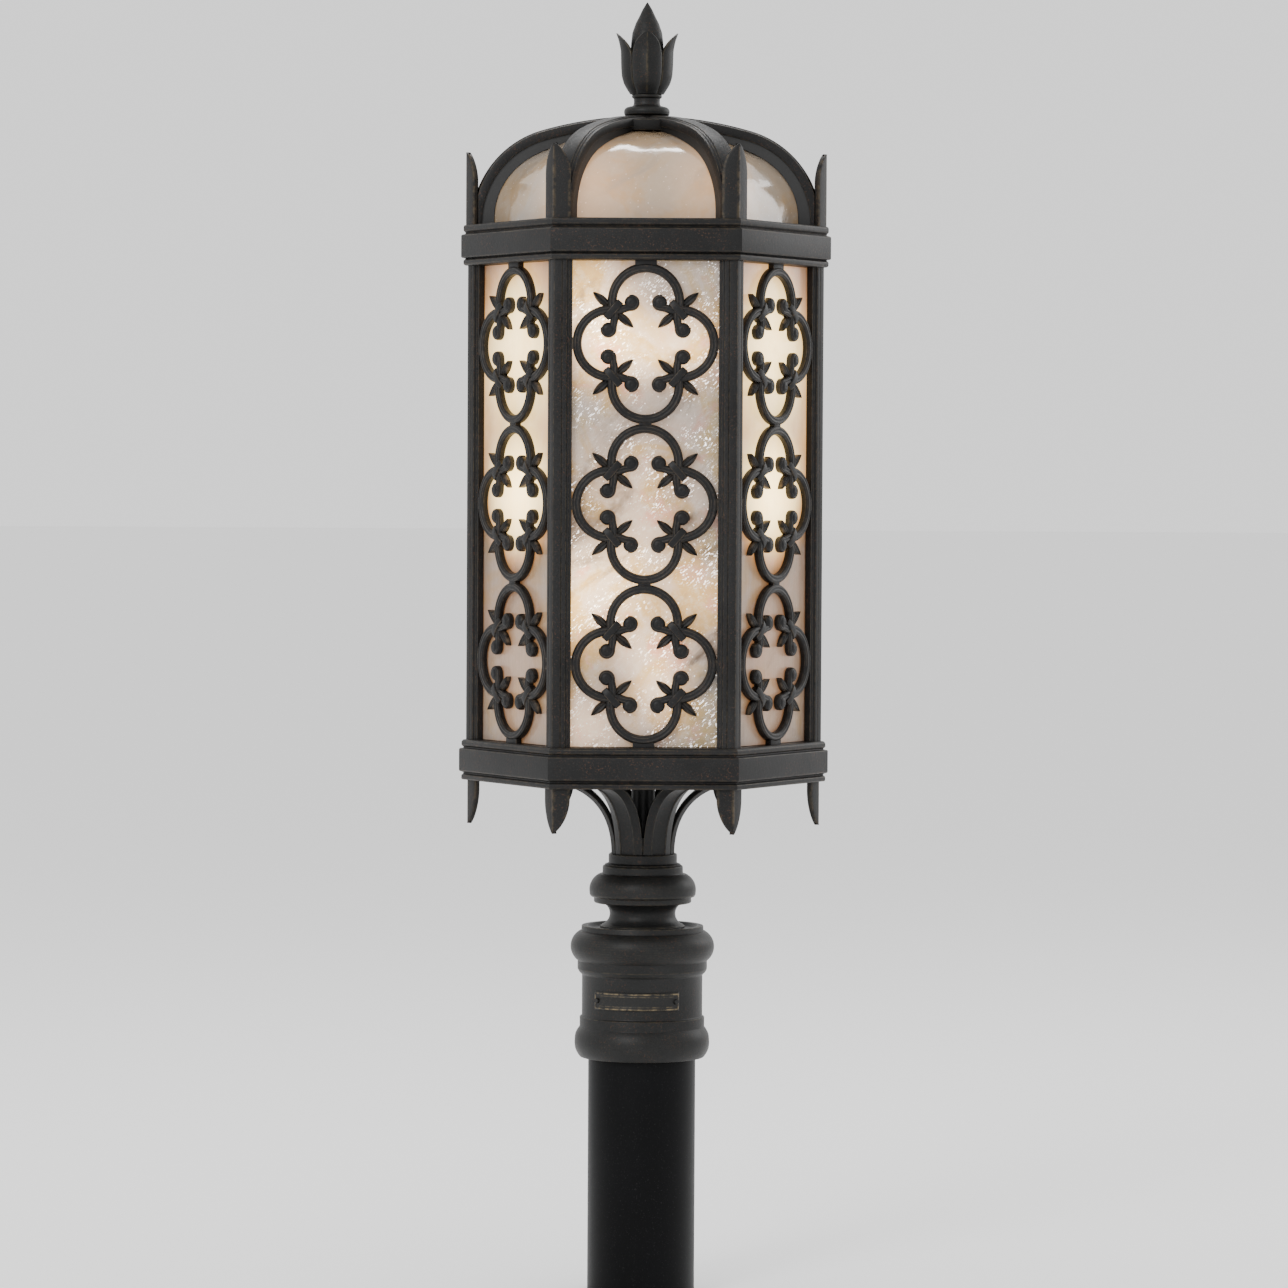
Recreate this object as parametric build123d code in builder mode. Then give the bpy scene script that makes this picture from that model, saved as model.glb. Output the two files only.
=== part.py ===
from build123d import *
import os
from math import asin, atan2, cos, degrees, hypot, radians, sin, tan

# A six-sided post-top lantern on a length of round post, in millimetres.
# +Z is up and the origin is the centre of the post's cut lower end.
# The lantern's corners stand at 0, 60, 120 ... degrees from +X, so one flat face looks along -Y.

# ---- post ------------------------------------------------------------------------------------
post_od = 76.2
post_wall = 3.2
post_stub = 168.5  # post showing below the fitter
post_engage = 75.5  # post hidden inside the fitter
slip_gap = 0.3  # fitter bore over the post, radial

# ---- post fitter, a turned casting that caps the post ------------------------------------------
roll_h = 21.5  # lower roll
roll_stand = 9.8  # radial stands are all measured from the bore
roll_edge_stand = 5.6
collar_stand = 5.9  # plain ring over the roll
collar_h = 7.0
barrel_stand = 4.4
barrel_h = 30.0
flare_h = 4.0  # cone from the barrel to the upper ring
flare_stand = 7.6
flare_ring_h = 6.0
crest_h = 21.0  # upper roll
crest_stand = 12.6
lip_stand = 4.8  # raised lip round the dished top
lip_h = 4.0
lip_wall = 4.0
dish_depth = 2.5
cap_t = 5.0  # metal of the cap under the dish
ledge = 2.3  # shoulder that rests on the post, radial

# ---- nameplate and screws ----------------------------------------------------------------------
plate_w = 66.0  # round the barrel
plate_h = 13.2
plate_t = 1.2
plate_turn = 6.7  # degrees off the front, towards -X
set_screw_r = 4.0
set_screw_count = 3
thread_fit = 0.05  # radial clearance of a screw that turns in its hole

# ---- stem and its nuts ------------------------------------------------------------------------
stem_r = 8.4
stem_bore = 5.4
nut_flats = 26.0
nut_h = 8.0
stem_past = 1.0  # stem below its lowest nut
stem_up = 8.0  # stem above the lamp bracket
turn_fit = 0.08  # the stem turns in the fitter, radial
turn_gap = 0.1  # face gap where the head turns on the fitter

# ---- neck --------------------------------------------------------------------------------------
neck_foot_r = 30.0
neck_foot_h = 2.5
cove_h = 17.0
cove_r = 23.0
step_in_r = 31.0
step_out_r = 34.0
step_h = 1.6
bulb_r = 37.8  # swelling of the neck
bulb_edge_r = 36.6
bulb_rise = 2.0
bulb_h = 16.3
bulb_top_r = 30.5
neck_ring_r = 28.5
neck_ring_h = 6.0
arm_collar_r = 24.3
arm_collar_foot = 27.0
arm_collar_h = 8.5

# ---- support arms ------------------------------------------------------------------------------
arm_reach = 50.0  # radius of the arm's outer quarter circle
arm_root_r = 22.3  # outer face of an arm where it leaves the collar
arm_t = 5.0
arm_strip = 10.4  # raised strip between the two edge lines
arm_line = 0.9
arm_line_h = 0.6
arm_side_drop = 2.5
arm_gap = 0.25  # between neighbouring arms

# ---- lantern body, measured on circles through the six corners -----------------------------------
sides = 6
corner_r = 126.0  # outer corner of the stiles
band_out = 5.0  # rail band beyond the stiles, at the corners
rail_lip_out = 3.3
rail_groove_out = 2.2
rail_open_in = 15.2  # clear opening of the rails inside the stiles' outer corners
rail_wall = 6.5  # wall behind the rail band, square to a face
foot_lip_h = 3.8
foot_groove_h = 2.3
band_h = 16.0
sill_h = 6.5  # lip that the stiles stand on
stile_h = 335.2
head_lip_h = 5.7  # lip over the stiles
head_groove_h = 1.2
rim_h = 5.9  # roof rim
flange_t = 5.8
pan_t = 3.0
pan_gap = 0.3

# ---- stiles --------------------------------------------------------------------------------------
stile_w = 12.6  # along each face, from the corner
stile_t = 7.0
stile_flat = 5.4
stile_line = 0.5
stile_bead = 3.1
stile_step = 1.6
stile_rebate = 2.3

# ---- grilles -------------------------------------------------------------------------------------
foils = 3
lobe_overlap = 8.63  # how far two neighbouring lobes cross
bar_w = 6.4
curl_w = 4.6
grille_t = 5.7
grille_gap = 0.6  # grille to glass
grille_end = 2.0  # tab between a crown and the rail
grille_tab_w = 9.0
side_tab_h = 8.0
side_tab = 0.1
ball_r = 4.7
curl_down = (3.4, -13.5)  # crossing of two lobes to the scroll ends
curl_in = (-12.5, 5.1)
knot_l = 15.3
knot_w = 6.3
leaf_l = 18.2  # knot to leaf tip
leaf_w = 5.6
leaf_root = 2.5
leaf_thin = 0.9  # leaves and scroll ends lie this much under the bar's face

# ---- side glass ----------------------------------------------------------------------------------
glass_t = 4.0
glass_lap = 4.0  # behind the stile, each side
glass_air = 0.3  # glass to stile
glass_end_gap = 0.4
clip_t = 1.2
clip_h = 12.0
clip_arm = 14.0
clip_inset = 36.0  # clip height from either end of the stile
clip_screw_r = 1.5
clip_head_r = 3.0
clip_head_h = 2.2

# ---- roof ----------------------------------------------------------------------------------------
rib_in = 2.5  # rib at its springing inside the stiles' outer corners
rib_rise = 77.3
rib_haunch = 68.5
rib_straight = 1.0
rib_t = 7.5
rib_w = 17.5
rib_strip_w = 10.0
rib_strip_h = 1.2
hub_r = 20.0
spigot_t = 2.7
spigot_h = 8.0
roof_fit = 0.3
dome_in = 12.1  # dome inside the ribs at the springing
dome_drop = 9.3  # and at the crown
dome_straight = 5.0
dome_haunch = 52.0
dome_t = 3.0
dome_seam = 0.5  # half the joint between two panels
dome_eye_r = 11.0
seal_w = 14.0

# ---- crown spikes and pendants -------------------------------------------------------------------
spike_out = 1.7  # beyond the stiles' outer corners
spike_w = 12.0  # along each face
spike_h = 51.2
spike_straight = 32.0
blade_t = 3.6
pendant_in = 1.0  # inside the stiles' outer corners
pendant_h = 31.0
pendant_straight = 7.0

# ---- finial --------------------------------------------------------------------------------------
disc_r = 16.0
disc_h = 7.3
finial_neck_r = 9.3
finial_neck_h = 4.9
finial_ring_r = 10.7
finial_ring_h = 3.0
calyx_h = 43.0
calyx_wall = 2.2
calyx_tip_r = 22.0
calyx_dip = 12.6
petals = 4
spear_r = 11.8
spear_h = 65.0

# ---- lamps ---------------------------------------------------------------------------------------
lamps = 3
lamp_r = 34.0  # lamp axes from the lantern's axis
bracket_t = 3.0
bracket_w = 13.0
coupling_r = 11.0
coupling_h = 18.0
rod_r = 3.0
holder_foot_h = 78.0
holder_foot_r = 4.0
holder_r = 10.3
holder_h = 38.0
sleeve_r = 11.6
sleeve_wall = 0.9
cap_r = 6.2
cap_h = 24.0
cap_in = 22.0  # cap inside the holder
envelope_r = 17.0
envelope_h = 76.0
envelope_wall = 1.0
screw_r = 2.0
screw_head_r = 3.8
screw_head_h = 2.7
screw_fit = 0.2
stile_screw_r = 1.4
stile_screw_in = 2.5  # from the stile's inner corner
stile_head_r = 2.6
stile_screw_l = 13.0

# ---- levels and angles that follow ---------------------------------------------------------------
half_angle = 180 / sides
face_cos = cos(radians(half_angle))
face_tan = tan(radians(half_angle))
corner_angles = [360 / sides * i for i in range(sides)]
face_angles = [a + half_angle for a in corner_angles]

post_r = post_od / 2
post_top = post_stub + post_engage
fitter_bore = post_r + slip_gap
roll_r = fitter_bore + roll_stand
roll_edge_r = fitter_bore + roll_edge_stand
collar_r = fitter_bore + collar_stand
barrel_r = fitter_bore + barrel_stand
flare_r = fitter_bore + flare_stand
crest_r = fitter_bore + crest_stand
lip_r = fitter_bore + lip_stand
z_roll = post_stub + roll_h
z_barrel = z_roll + collar_h
z_flare = z_barrel + barrel_h
z_flare_ring = z_flare + flare_h
z_crest = z_flare_ring + flare_ring_h
z_lip = z_crest + crest_h
z_fitter_top = z_lip + lip_h
z_dish = z_fitter_top - dish_depth
z_cap = z_dish - cap_t

z_neck = z_dish + turn_gap
z_cove = z_neck + neck_foot_h
z_step = z_cove + cove_h
z_bulb = z_step + 2 * step_h
z_neck_ring = z_bulb + bulb_h
z_collar = z_neck_ring + neck_ring_h
z_arm = z_collar + arm_collar_h
z_pan = z_arm + arm_reach + arm_t
arm_axis_r = arm_root_r + arm_reach

z_rail = z_pan - foot_lip_h + 0.5
z_sill = z_rail + foot_lip_h + foot_groove_h + band_h
z_stile = z_sill + sill_h
z_head = z_stile + stile_h
z_head_band = z_head + head_lip_h
z_head_groove = z_head_band + band_h
z_rim = z_head_groove + head_groove_h
z_roof = z_rim + rim_h
band_r = corner_r + band_out
rail_lip_r = corner_r + rail_lip_out
rail_groove_r = corner_r + rail_groove_out
rail_open_r = corner_r - rail_open_in
wall_r = band_r - rail_wall / face_cos  # corner radius inside the rail walls
face_half = corner_r * sin(radians(half_angle))
open_half = face_half - stile_w
stile_inner_r = corner_r - stile_t / face_cos
stile_back = stile_inner_r * face_cos
glass_front = stile_back - glass_air
grille_back = glass_front + grille_gap
glass_half = open_half + glass_lap
clip_face = glass_front - glass_t

rib_out_r = corner_r - rib_in
dome_hip_r = rib_out_r - dome_in
dome_rise = rib_rise - dome_drop
spike_r = corner_r + spike_out
pendant_r = corner_r - pendant_in
z_crown = z_roof + rib_rise
hub_drop = 1.0
z_disc = z_crown + 0.2
z_ring = z_disc + disc_h + finial_neck_h
z_calyx = z_ring + finial_ring_h
z_bracket = z_pan + pan_t + nut_h + 17.0
z_holder = z_bracket + bracket_t
z_rod_top = z_calyx + 8.0


def radial(angle, z=0):
    """Upright plane through the axis: x runs outwards at this angle, y runs up."""
    c, s = cos(radians(angle)), sin(radians(angle))
    return Plane(origin=(0, 0, z), x_dir=(c, s, 0), z_dir=(s, -c, 0))


def face(angle, apothem, z=0):
    """Upright plane square to a radius: z points outwards, y runs up."""
    c, s = cos(radians(angle)), sin(radians(angle))
    return Plane(origin=(apothem * c, apothem * s, z), x_dir=(-s, c, 0), z_dir=(c, s, 0))


def level(angle, z):
    """Horizontal plane with x outwards at this angle."""
    return Plane(origin=(0, 0, z), x_dir=(cos(radians(angle)), sin(radians(angle)), 0), z_dir=(0, 0, 1))


def on_face(radius, along, depth):
    """Point in a corner's level plane: along a face from the corner and in from that face."""
    c, s = face_cos, sin(radians(half_angle))
    return (radius - s * along - c * depth, c * along - s * depth)


def save(part, name):
    part.label = name
    export_step(part, f"parts/{name}.step")


def arch_edge(spring_r, spring_z, rise, haunch, straight, inset, inner_r):
    """Draw a three-centred half arch, set in square to itself, and give its two ends."""
    centre_r = spring_r - haunch
    top = rise - straight
    crown = (centre_r**2 + top**2 - haunch**2) / (2 * (top - haunch))
    sweep = degrees(atan2(crown - top, centre_r))
    foot = (centre_r + haunch - inset, spring_z)
    base = (foot[0], spring_z + straight)
    Line(foot, base)
    low = JernArc(base, (0, 1), haunch - inset, sweep)
    reach = 90 - sweep - degrees(asin(inner_r / (crown - inset)))
    high = JernArc(low @ 1, low % 1, crown - inset, reach)
    return foot, high @ 1


def arch_band(shape, outer_inset, inner_inset, inner_r):
    """Draw the closed outline of a bent bar that follows an arch."""
    outer_foot, outer_end = arch_edge(*shape, outer_inset, inner_r)
    inner_foot, inner_end = arch_edge(*shape, inner_inset, inner_r)
    Line(outer_foot, inner_foot)
    Line(outer_end, inner_end)


os.makedirs("parts", exist_ok=True)

# ==== post and fitter ===========================================================================
with BuildPart() as post_tube:
    with BuildSketch():
        Circle(post_r)
        Circle(post_r - post_wall, mode=Mode.SUBTRACT)
    extrude(amount=post_top)
save(post_tube.part, "post_tube")

fitter_hole = stem_r + turn_fit
set_screw_angles = [360 / (set_screw_count + 1) * i for i in range(set_screw_count)]
z_set_screw = post_stub + roll_h / 2
with BuildPart() as post_fitter:
    with BuildSketch(Plane.XZ):
        with BuildLine():
            Line((fitter_bore, post_stub), (roll_edge_r, post_stub))
            ThreePointArc((roll_edge_r, post_stub), (roll_r, z_set_screw), (collar_r, z_roll))
            Polyline(
                (collar_r, z_roll),
                (collar_r, z_barrel),
                (barrel_r, z_barrel + 1),
                (barrel_r, z_flare),
                (flare_r, z_flare_ring),
                (flare_r, z_crest),
            )
            ThreePointArc((flare_r, z_crest), (crest_r, z_crest + crest_h / 2), (lip_r + 1, z_lip))
            Polyline(
                (lip_r + 1, z_lip),
                (lip_r, z_lip),
                (lip_r, z_fitter_top),
                (lip_r - lip_wall, z_fitter_top),
                (lip_r - lip_wall - dish_depth, z_dish),
                (fitter_hole, z_dish),
                (fitter_hole, z_cap),
                (fitter_bore - ledge, z_cap),
                (fitter_bore - ledge, post_top),
                (fitter_bore, post_top),
                (fitter_bore, post_stub),
            )
        make_face()
    revolve(axis=Axis.Z)
    for angle in set_screw_angles:
        with BuildSketch(face(angle, 0, z_set_screw)):
            Circle(set_screw_r + thread_fit)
        extrude(amount=crest_r, mode=Mode.SUBTRACT)
    for side in (-1, 1):
        turn = 270 - plate_turn + side * degrees((plate_w / 2 - plate_h / 4) / barrel_r)
        with BuildSketch(face(turn, barrel_r - 5, z_barrel + barrel_h / 2 - 1)):
            Circle(1.0)
        extrude(amount=10, mode=Mode.SUBTRACT)
save(post_fitter.part, "post_fitter")

for number, angle in enumerate(set_screw_angles, 1):
    with BuildPart() as set_screw:
        with BuildSketch(face(angle, post_r + slip_gap, z_set_screw)):
            Circle(set_screw_r)
        extrude(amount=roll_r - post_r - slip_gap - 0.6)
        with BuildSketch(face(angle, roll_r - 4, z_set_screw)):
            RegularPolygon(set_screw_r * 0.55, 6)
        extrude(amount=5, mode=Mode.SUBTRACT)
    save(set_screw.part, f"set_screw_{number}")

plate_z = z_barrel + barrel_h / 2 - 1
plate_angle = 270 - plate_turn
plate_half_turn = degrees(plate_w / 2 / barrel_r)
with BuildPart() as nameplate:
    with BuildSketch(level(plate_angle, plate_z - plate_h / 2)):
        Circle(barrel_r + plate_t)
        Circle(barrel_r, mode=Mode.SUBTRACT)
    extrude(amount=plate_h)
    with BuildSketch(level(plate_angle, plate_z - plate_h)):
        with BuildLine():
            reach = 2 * crest_r
            Polyline(
                (0, 0),
                (reach * cos(radians(plate_half_turn)), reach * sin(radians(plate_half_turn))),
                (reach * cos(radians(plate_half_turn)), -reach * sin(radians(plate_half_turn))),
                (0, 0),
            )
        make_face()
    extrude(amount=2 * plate_h, mode=Mode.INTERSECT)
    for side in (-1, 1):
        turn = plate_angle + side * degrees((plate_w / 2 - plate_h / 4) / barrel_r)
        with BuildSketch(face(turn, barrel_r - 1, plate_z)):
            Circle(1.1)
        extrude(amount=5, mode=Mode.SUBTRACT)
save(nameplate.part, "nameplate")

with BuildPart() as nameplate_screws:
    for side in (-1, 1):
        turn = plate_angle + side * degrees((plate_w / 2 - plate_h / 4) / barrel_r)
        with BuildSketch(face(turn, barrel_r - 4, plate_z)):
            Circle(0.95)
        extrude(amount=4 + plate_t + 0.3)
        with BuildSketch(face(turn, barrel_r + plate_t + 0.1, plate_z)):
            Circle(1.9)
        extrude(amount=0.9, taper=20)
save(nameplate_screws.part, "nameplate_screws")

# ==== stem, nuts and neck =========================================================================
z_nut_low = z_cap - turn_gap - nut_h
z_nut_high = z_pan + pan_t
with BuildPart() as stem:
    with BuildSketch(Plane.XY.offset(z_nut_low - stem_past)):
        Circle(stem_r)
        Circle(stem_bore, mode=Mode.SUBTRACT)
    extrude(amount=z_holder + stem_up - z_nut_low + stem_past)
save(stem.part, "stem")

with BuildPart() as stem_locknuts:
    for z_nut in (z_nut_low, z_nut_high, z_bracket - nut_h):
        with BuildSketch(Plane.XY.offset(z_nut)):
            RegularPolygon(nut_flats / 2, 6, major_radius=False)
            Circle(stem_r, mode=Mode.SUBTRACT)
        extrude(amount=nut_h)
save(stem_locknuts.part, "stem_locknuts")

with BuildPart() as neck:
    with BuildSketch(Plane.XZ):
        with BuildLine():
            Polyline(
                (neck_ring_r, z_collar),
                (stem_r, z_collar),
                (stem_r, z_neck),
                (neck_foot_r, z_neck),
                (neck_foot_r, z_cove),
                (neck_foot_r - 1, z_cove),
            )
            ThreePointArc(
                (neck_foot_r - 1, z_cove),
                (cove_r, z_cove + cove_h * 0.55),
                (step_in_r - 1, z_step),
            )
            Polyline(
                (step_in_r - 1, z_step),
                (step_in_r, z_step),
                (step_in_r, z_step + step_h),
                (step_out_r, z_step + step_h),
                (step_out_r, z_bulb),
                (bulb_edge_r, z_bulb),
                (bulb_r, z_bulb + bulb_rise),
                (bulb_r, z_bulb + 2 * bulb_rise),
            )
            RadiusArc(
                (bulb_r, z_bulb + 2 * bulb_rise),
                (bulb_top_r, z_neck_ring),
                -0.82 * (bulb_h - 2 * bulb_rise),
            )
            Polyline(
                (bulb_top_r, z_neck_ring),
                (neck_ring_r, z_neck_ring + 0.6),
                (neck_ring_r, z_collar),
            )
        make_face()
    revolve(axis=Axis.Z)
save(neck.part, "neck")

with BuildPart() as arm_collar:
    with BuildSketch(Plane.XZ):
        with BuildLine():
            Polyline(
                (stem_r, z_collar),
                (arm_collar_foot, z_collar),
                (arm_collar_foot, z_collar + 1),
                (arm_collar_r, z_collar + 1.8),
                (arm_collar_r, z_arm - 0.6),
                (arm_collar_r - 0.6, z_arm),
                (stem_r, z_arm),
                close=True,
            )
        make_face()
    revolve(axis=Axis.Z)
save(arm_collar.part, "arm_collar")

# ==== arms, pan and bottom rail ===================================================================
arm_inner_r = arm_root_r - arm_t
arm_screw_r = arm_axis_r - 5.5
strip_half = arm_strip / 2
wide = arm_root_r - arm_side_drop
with BuildPart() as arm:
    with BuildSketch(Plane.XY.offset(z_arm)):
        with BuildLine():
            Polyline(
                (arm_inner_r, 0),
                (arm_root_r - arm_line_h, 0),
                (arm_root_r - arm_line_h, strip_half - 0.2),
                (arm_root_r, strip_half),
                (arm_root_r, strip_half + arm_line),
                (arm_root_r - arm_line_h, strip_half + arm_line + 0.2),
                (wide, wide * face_tan - arm_gap),
                (arm_inner_r, arm_inner_r * face_tan - arm_gap),
                close=True,
            )
        make_face()
        mirror(about=Plane.XZ)
    revolve(axis=Axis((arm_axis_r, 0, z_arm), (0, 1, 0)), revolution_arc=90)
    with BuildSketch(Plane.XY.offset(z_pan - arm_t - 1)):
        with Locations((arm_screw_r, 0)):
            Circle(screw_r + thread_fit)
    extrude(amount=arm_t + 2, mode=Mode.SUBTRACT)
with BuildPart() as support_arms:
    with PolarLocations(0, sides):
        add(arm.part)
save(support_arms.part, "support_arms")

with BuildPart() as arm_screws:
    with BuildSketch(Plane.XY.offset(z_pan - arm_t + 0.5)):
        with PolarLocations(arm_screw_r, sides):
            Circle(screw_r)
    extrude(amount=arm_t + pan_t - 0.5)
    with BuildSketch(Plane.XY.offset(z_pan + pan_t)):
        with PolarLocations(arm_screw_r, sides):
            Circle(screw_head_r)
    extrude(amount=screw_head_h, taper=12)
save(arm_screws.part, "arm_screws")

with BuildPart() as bottom_pan:
    with BuildSketch(Plane.XY.offset(z_pan)):
        RegularPolygon(wall_r - pan_gap, sides)
        Circle(stem_r + turn_fit, mode=Mode.SUBTRACT)
        with PolarLocations(arm_screw_r, sides):
            Circle(screw_r + screw_fit, mode=Mode.SUBTRACT)
    extrude(amount=pan_t)
save(bottom_pan.part, "bottom_pan")

stile_screw_at = stile_inner_r + stile_screw_in
with BuildPart() as bottom_rail:
    z_band = z_rail + foot_lip_h + foot_groove_h
    for z_low, height, radius in (
        (z_rail, foot_lip_h, rail_lip_r),
        (z_rail + foot_lip_h, foot_groove_h, rail_groove_r),
        (z_band, band_h, band_r),
        (z_sill, sill_h, rail_lip_r),
    ):
        with BuildSketch(Plane.XY.offset(z_low)):
            RegularPolygon(radius, sides)
        extrude(amount=height)
    with BuildSketch(Plane.XY.offset(z_rail)):
        RegularPolygon(wall_r, sides)
    extrude(amount=z_stile - flange_t - z_rail, mode=Mode.SUBTRACT)
    with BuildSketch(Plane.XY.offset(z_rail)):
        RegularPolygon(rail_open_r, sides)
        with PolarLocations(stile_screw_at, sides):
            Circle(stile_screw_r + screw_fit)
    extrude(amount=z_stile - z_rail, mode=Mode.SUBTRACT)
save(bottom_rail.part, "bottom_rail")


def blade_line(width, straight, height):
    """Draw half a pointed blade from the corner along +x; negative sizes make it hang."""
    Polyline((0, height), (0, 0), (width, 0), (width, straight))
    ThreePointArc((width, straight), (width * 0.64, straight + 0.58 * (height - straight)), (0, height))


with BuildPart() as pendant:
    corner = Plane(
        origin=(pendant_r, 0, z_rail),
        x_dir=(-sin(radians(half_angle)), face_cos, 0),
        z_dir=(face_cos, sin(radians(half_angle)), 0),
    )
    with BuildSketch(corner):
        with BuildLine():
            blade_line(spike_w, -pendant_straight, -pendant_h)
        make_face()
    extrude(amount=-blade_t)
    mirror(about=Plane.XZ)
with BuildPart() as pendants:
    with PolarLocations(0, sides):
        add(pendant.part)
save(pendants.part, "pendants")

# ==== stiles ======================================================================================
bead_start = stile_flat + stile_line
bead_end = bead_start + stile_bead
stile_half = [
    (0, 0),
    (stile_flat, 0),
    (stile_flat, 0.5),
    (bead_start, 0.5),
    (bead_start, 0),
    (bead_end, 0.4),
    (bead_end, stile_step),
    (bead_end + 1.6, stile_step),
    (bead_end + 1.6, stile_rebate),
    (stile_w, stile_rebate),
    (stile_w, stile_t),
]
for number, angle in enumerate(corner_angles, 1):
    with BuildPart() as stile:
        with BuildSketch(level(angle, z_stile)):
            with BuildLine():
                Polyline(
                    *[on_face(corner_r, along, depth) for along, depth in stile_half],
                    (stile_inner_r, 0),
                    close=True,
                )
            make_face()
            mirror(about=Plane.XZ)
        extrude(amount=stile_h)
        for z_low in (z_stile, z_head - stile_screw_l):
            with BuildSketch(level(angle, z_low)):
                with Locations((stile_screw_at, 0)):
                    Circle(stile_screw_r + thread_fit)
            extrude(amount=stile_screw_l, mode=Mode.SUBTRACT)
        for z_clip in (z_stile + clip_inset, z_head - clip_inset):
            with BuildSketch(face(angle, stile_inner_r - 4, z_clip)):
                Circle(clip_screw_r + thread_fit)
            extrude(amount=4 + 4.5, mode=Mode.SUBTRACT)
    save(stile.part, f"stile_{number}")

with BuildPart() as stile_screws:
    flange_low = z_stile - flange_t
    flange_high = z_head + flange_t
    for z_shank, z_screw_head in (
        (flange_low, flange_low - screw_head_h),
        (flange_high - flange_t - stile_screw_l + 1, flange_high),
    ):
        with BuildSketch(Plane.XY.offset(z_shank)):
            with PolarLocations(stile_screw_at, sides):
                Circle(stile_screw_r)
        extrude(amount=flange_t + stile_screw_l - 1)
        with BuildSketch(Plane.XY.offset(z_screw_head)):
            with PolarLocations(stile_screw_at, sides):
                Circle(stile_head_r)
        extrude(amount=screw_head_h)
save(stile_screws.part, "stile_screws")

# ==== grilles =====================================================================================
foil_pitch = (stile_h - 2 * grille_end) / foils
half_pitch, half_open = foil_pitch / 2, open_half - side_tab
crossing = bar_w + lobe_overlap
linear = 2 * (half_pitch + half_open) - 4 * crossing
constant = crossing**2 - half_pitch**2 - half_open**2
lobe_out_r = ((linear**2 - 8 * constant) ** 0.5 - linear) / 4  # makes the lobes cross by lobe_overlap
lobe_r = lobe_out_r - bar_w / 2
lobe_up = half_pitch - lobe_out_r
lobe_side = half_open - lobe_out_r
reach = hypot(lobe_up, lobe_side) / 2
spread = (lobe_r**2 - reach**2) ** 0.5
knot = Vector(
    lobe_side / 2 + spread * lobe_up / (2 * reach),
    lobe_up / 2 + spread * lobe_side / (2 * reach),
)
out = Vector(lobe_up + lobe_side, lobe_up + lobe_side).normalized()
ball_low = knot + Vector(*curl_down)
ball_high = knot + Vector(*curl_in)
across = Vector(-out.Y, out.X)
top_end = degrees(atan2(knot.Y - lobe_up, knot.X))
side_end = degrees(atan2(knot.Y, knot.X - lobe_side))

with BuildSketch() as lobe_quarter:
    with BuildLine():
        CenterArc((0, lobe_up), lobe_r, 90, top_end - 90)
        CenterArc((lobe_side, 0), lobe_r, 0, side_end)
    trace(line_width=bar_w)
with BuildSketch() as curl_quarter:
    with BuildLine():
        TangentArc(knot, ball_low, tangent=(sin(radians(top_end)), -cos(radians(top_end))))
        TangentArc(knot, ball_high, tangent=(-sin(radians(side_end)), cos(radians(side_end))))
    trace(line_width=curl_w)
    with Locations(ball_low, ball_high):
        Circle(ball_r)
    for toward in (out, -out):
        root = knot + toward * leaf_root
        tip = knot + toward * leaf_l
        middle = (root + tip) / 2
        with BuildLine():
            ThreePointArc(root, middle + across * leaf_w / 2, tip)
            ThreePointArc(tip, middle - across * leaf_w / 2, root)
        make_face()
with BuildSketch() as knot_quarter:
    with Locations(Location(knot, degrees(atan2(across.Y, across.X)))):
        RectangleRounded(knot_l, knot_w, 1.4)
with BuildSketch() as tab_set:
    Rectangle(2 * open_half, side_tab_h)
    Rectangle(2 * (open_half - 1.2), side_tab_h, mode=Mode.SUBTRACT)
    for edge in (-1, 1):
        with Locations((0, edge * (foil_pitch / 2 - 0.6))):
            Rectangle(grille_tab_w, 2.4)
foil_levels = [z_stile + grille_end + foil_pitch * (i + 0.5) for i in range(foils)]


def foil(sketch):
    """Place one quarter of a foil in all four quarters of the sketch plane."""
    add(sketch)
    add(sketch.mirror(Plane.XZ))
    add(sketch.mirror(Plane.YZ))
    add(sketch.mirror(Plane.XZ).mirror(Plane.YZ))


for number, angle in enumerate(face_angles, 1):
    with BuildPart() as grille:
        for z_foil in foil_levels:
            with BuildSketch(face(angle, grille_back, z_foil)):
                foil(lobe_quarter.sketch)
                add(tab_set.sketch)
            extrude(amount=grille_t - leaf_thin / 2)
            with BuildSketch(face(angle, grille_back, z_foil)):
                foil(curl_quarter.sketch)
            extrude(amount=grille_t - leaf_thin)
            with BuildSketch(face(angle, grille_back, z_foil)):
                foil(knot_quarter.sketch)
            extrude(amount=grille_t)
        for z_end in (z_stile, z_head - grille_end - 1):
            with BuildSketch(face(angle, grille_back, z_end + (grille_end + 1) / 2)):
                Rectangle(grille_tab_w, grille_end + 1)
            extrude(amount=grille_t - leaf_thin / 2)
    save(grille.part, f"grille_{number}")

# ==== side glass and clips ========================================================================
for number, angle in enumerate(face_angles, 1):
    with BuildPart() as glass_panel:
        with BuildSketch(face(angle, clip_face, z_stile + stile_h / 2)):
            Rectangle(2 * glass_half, stile_h - 2 * glass_end_gap)
        extrude(amount=glass_t)
    save(glass_panel.part, f"glass_panel_{number}")

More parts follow.
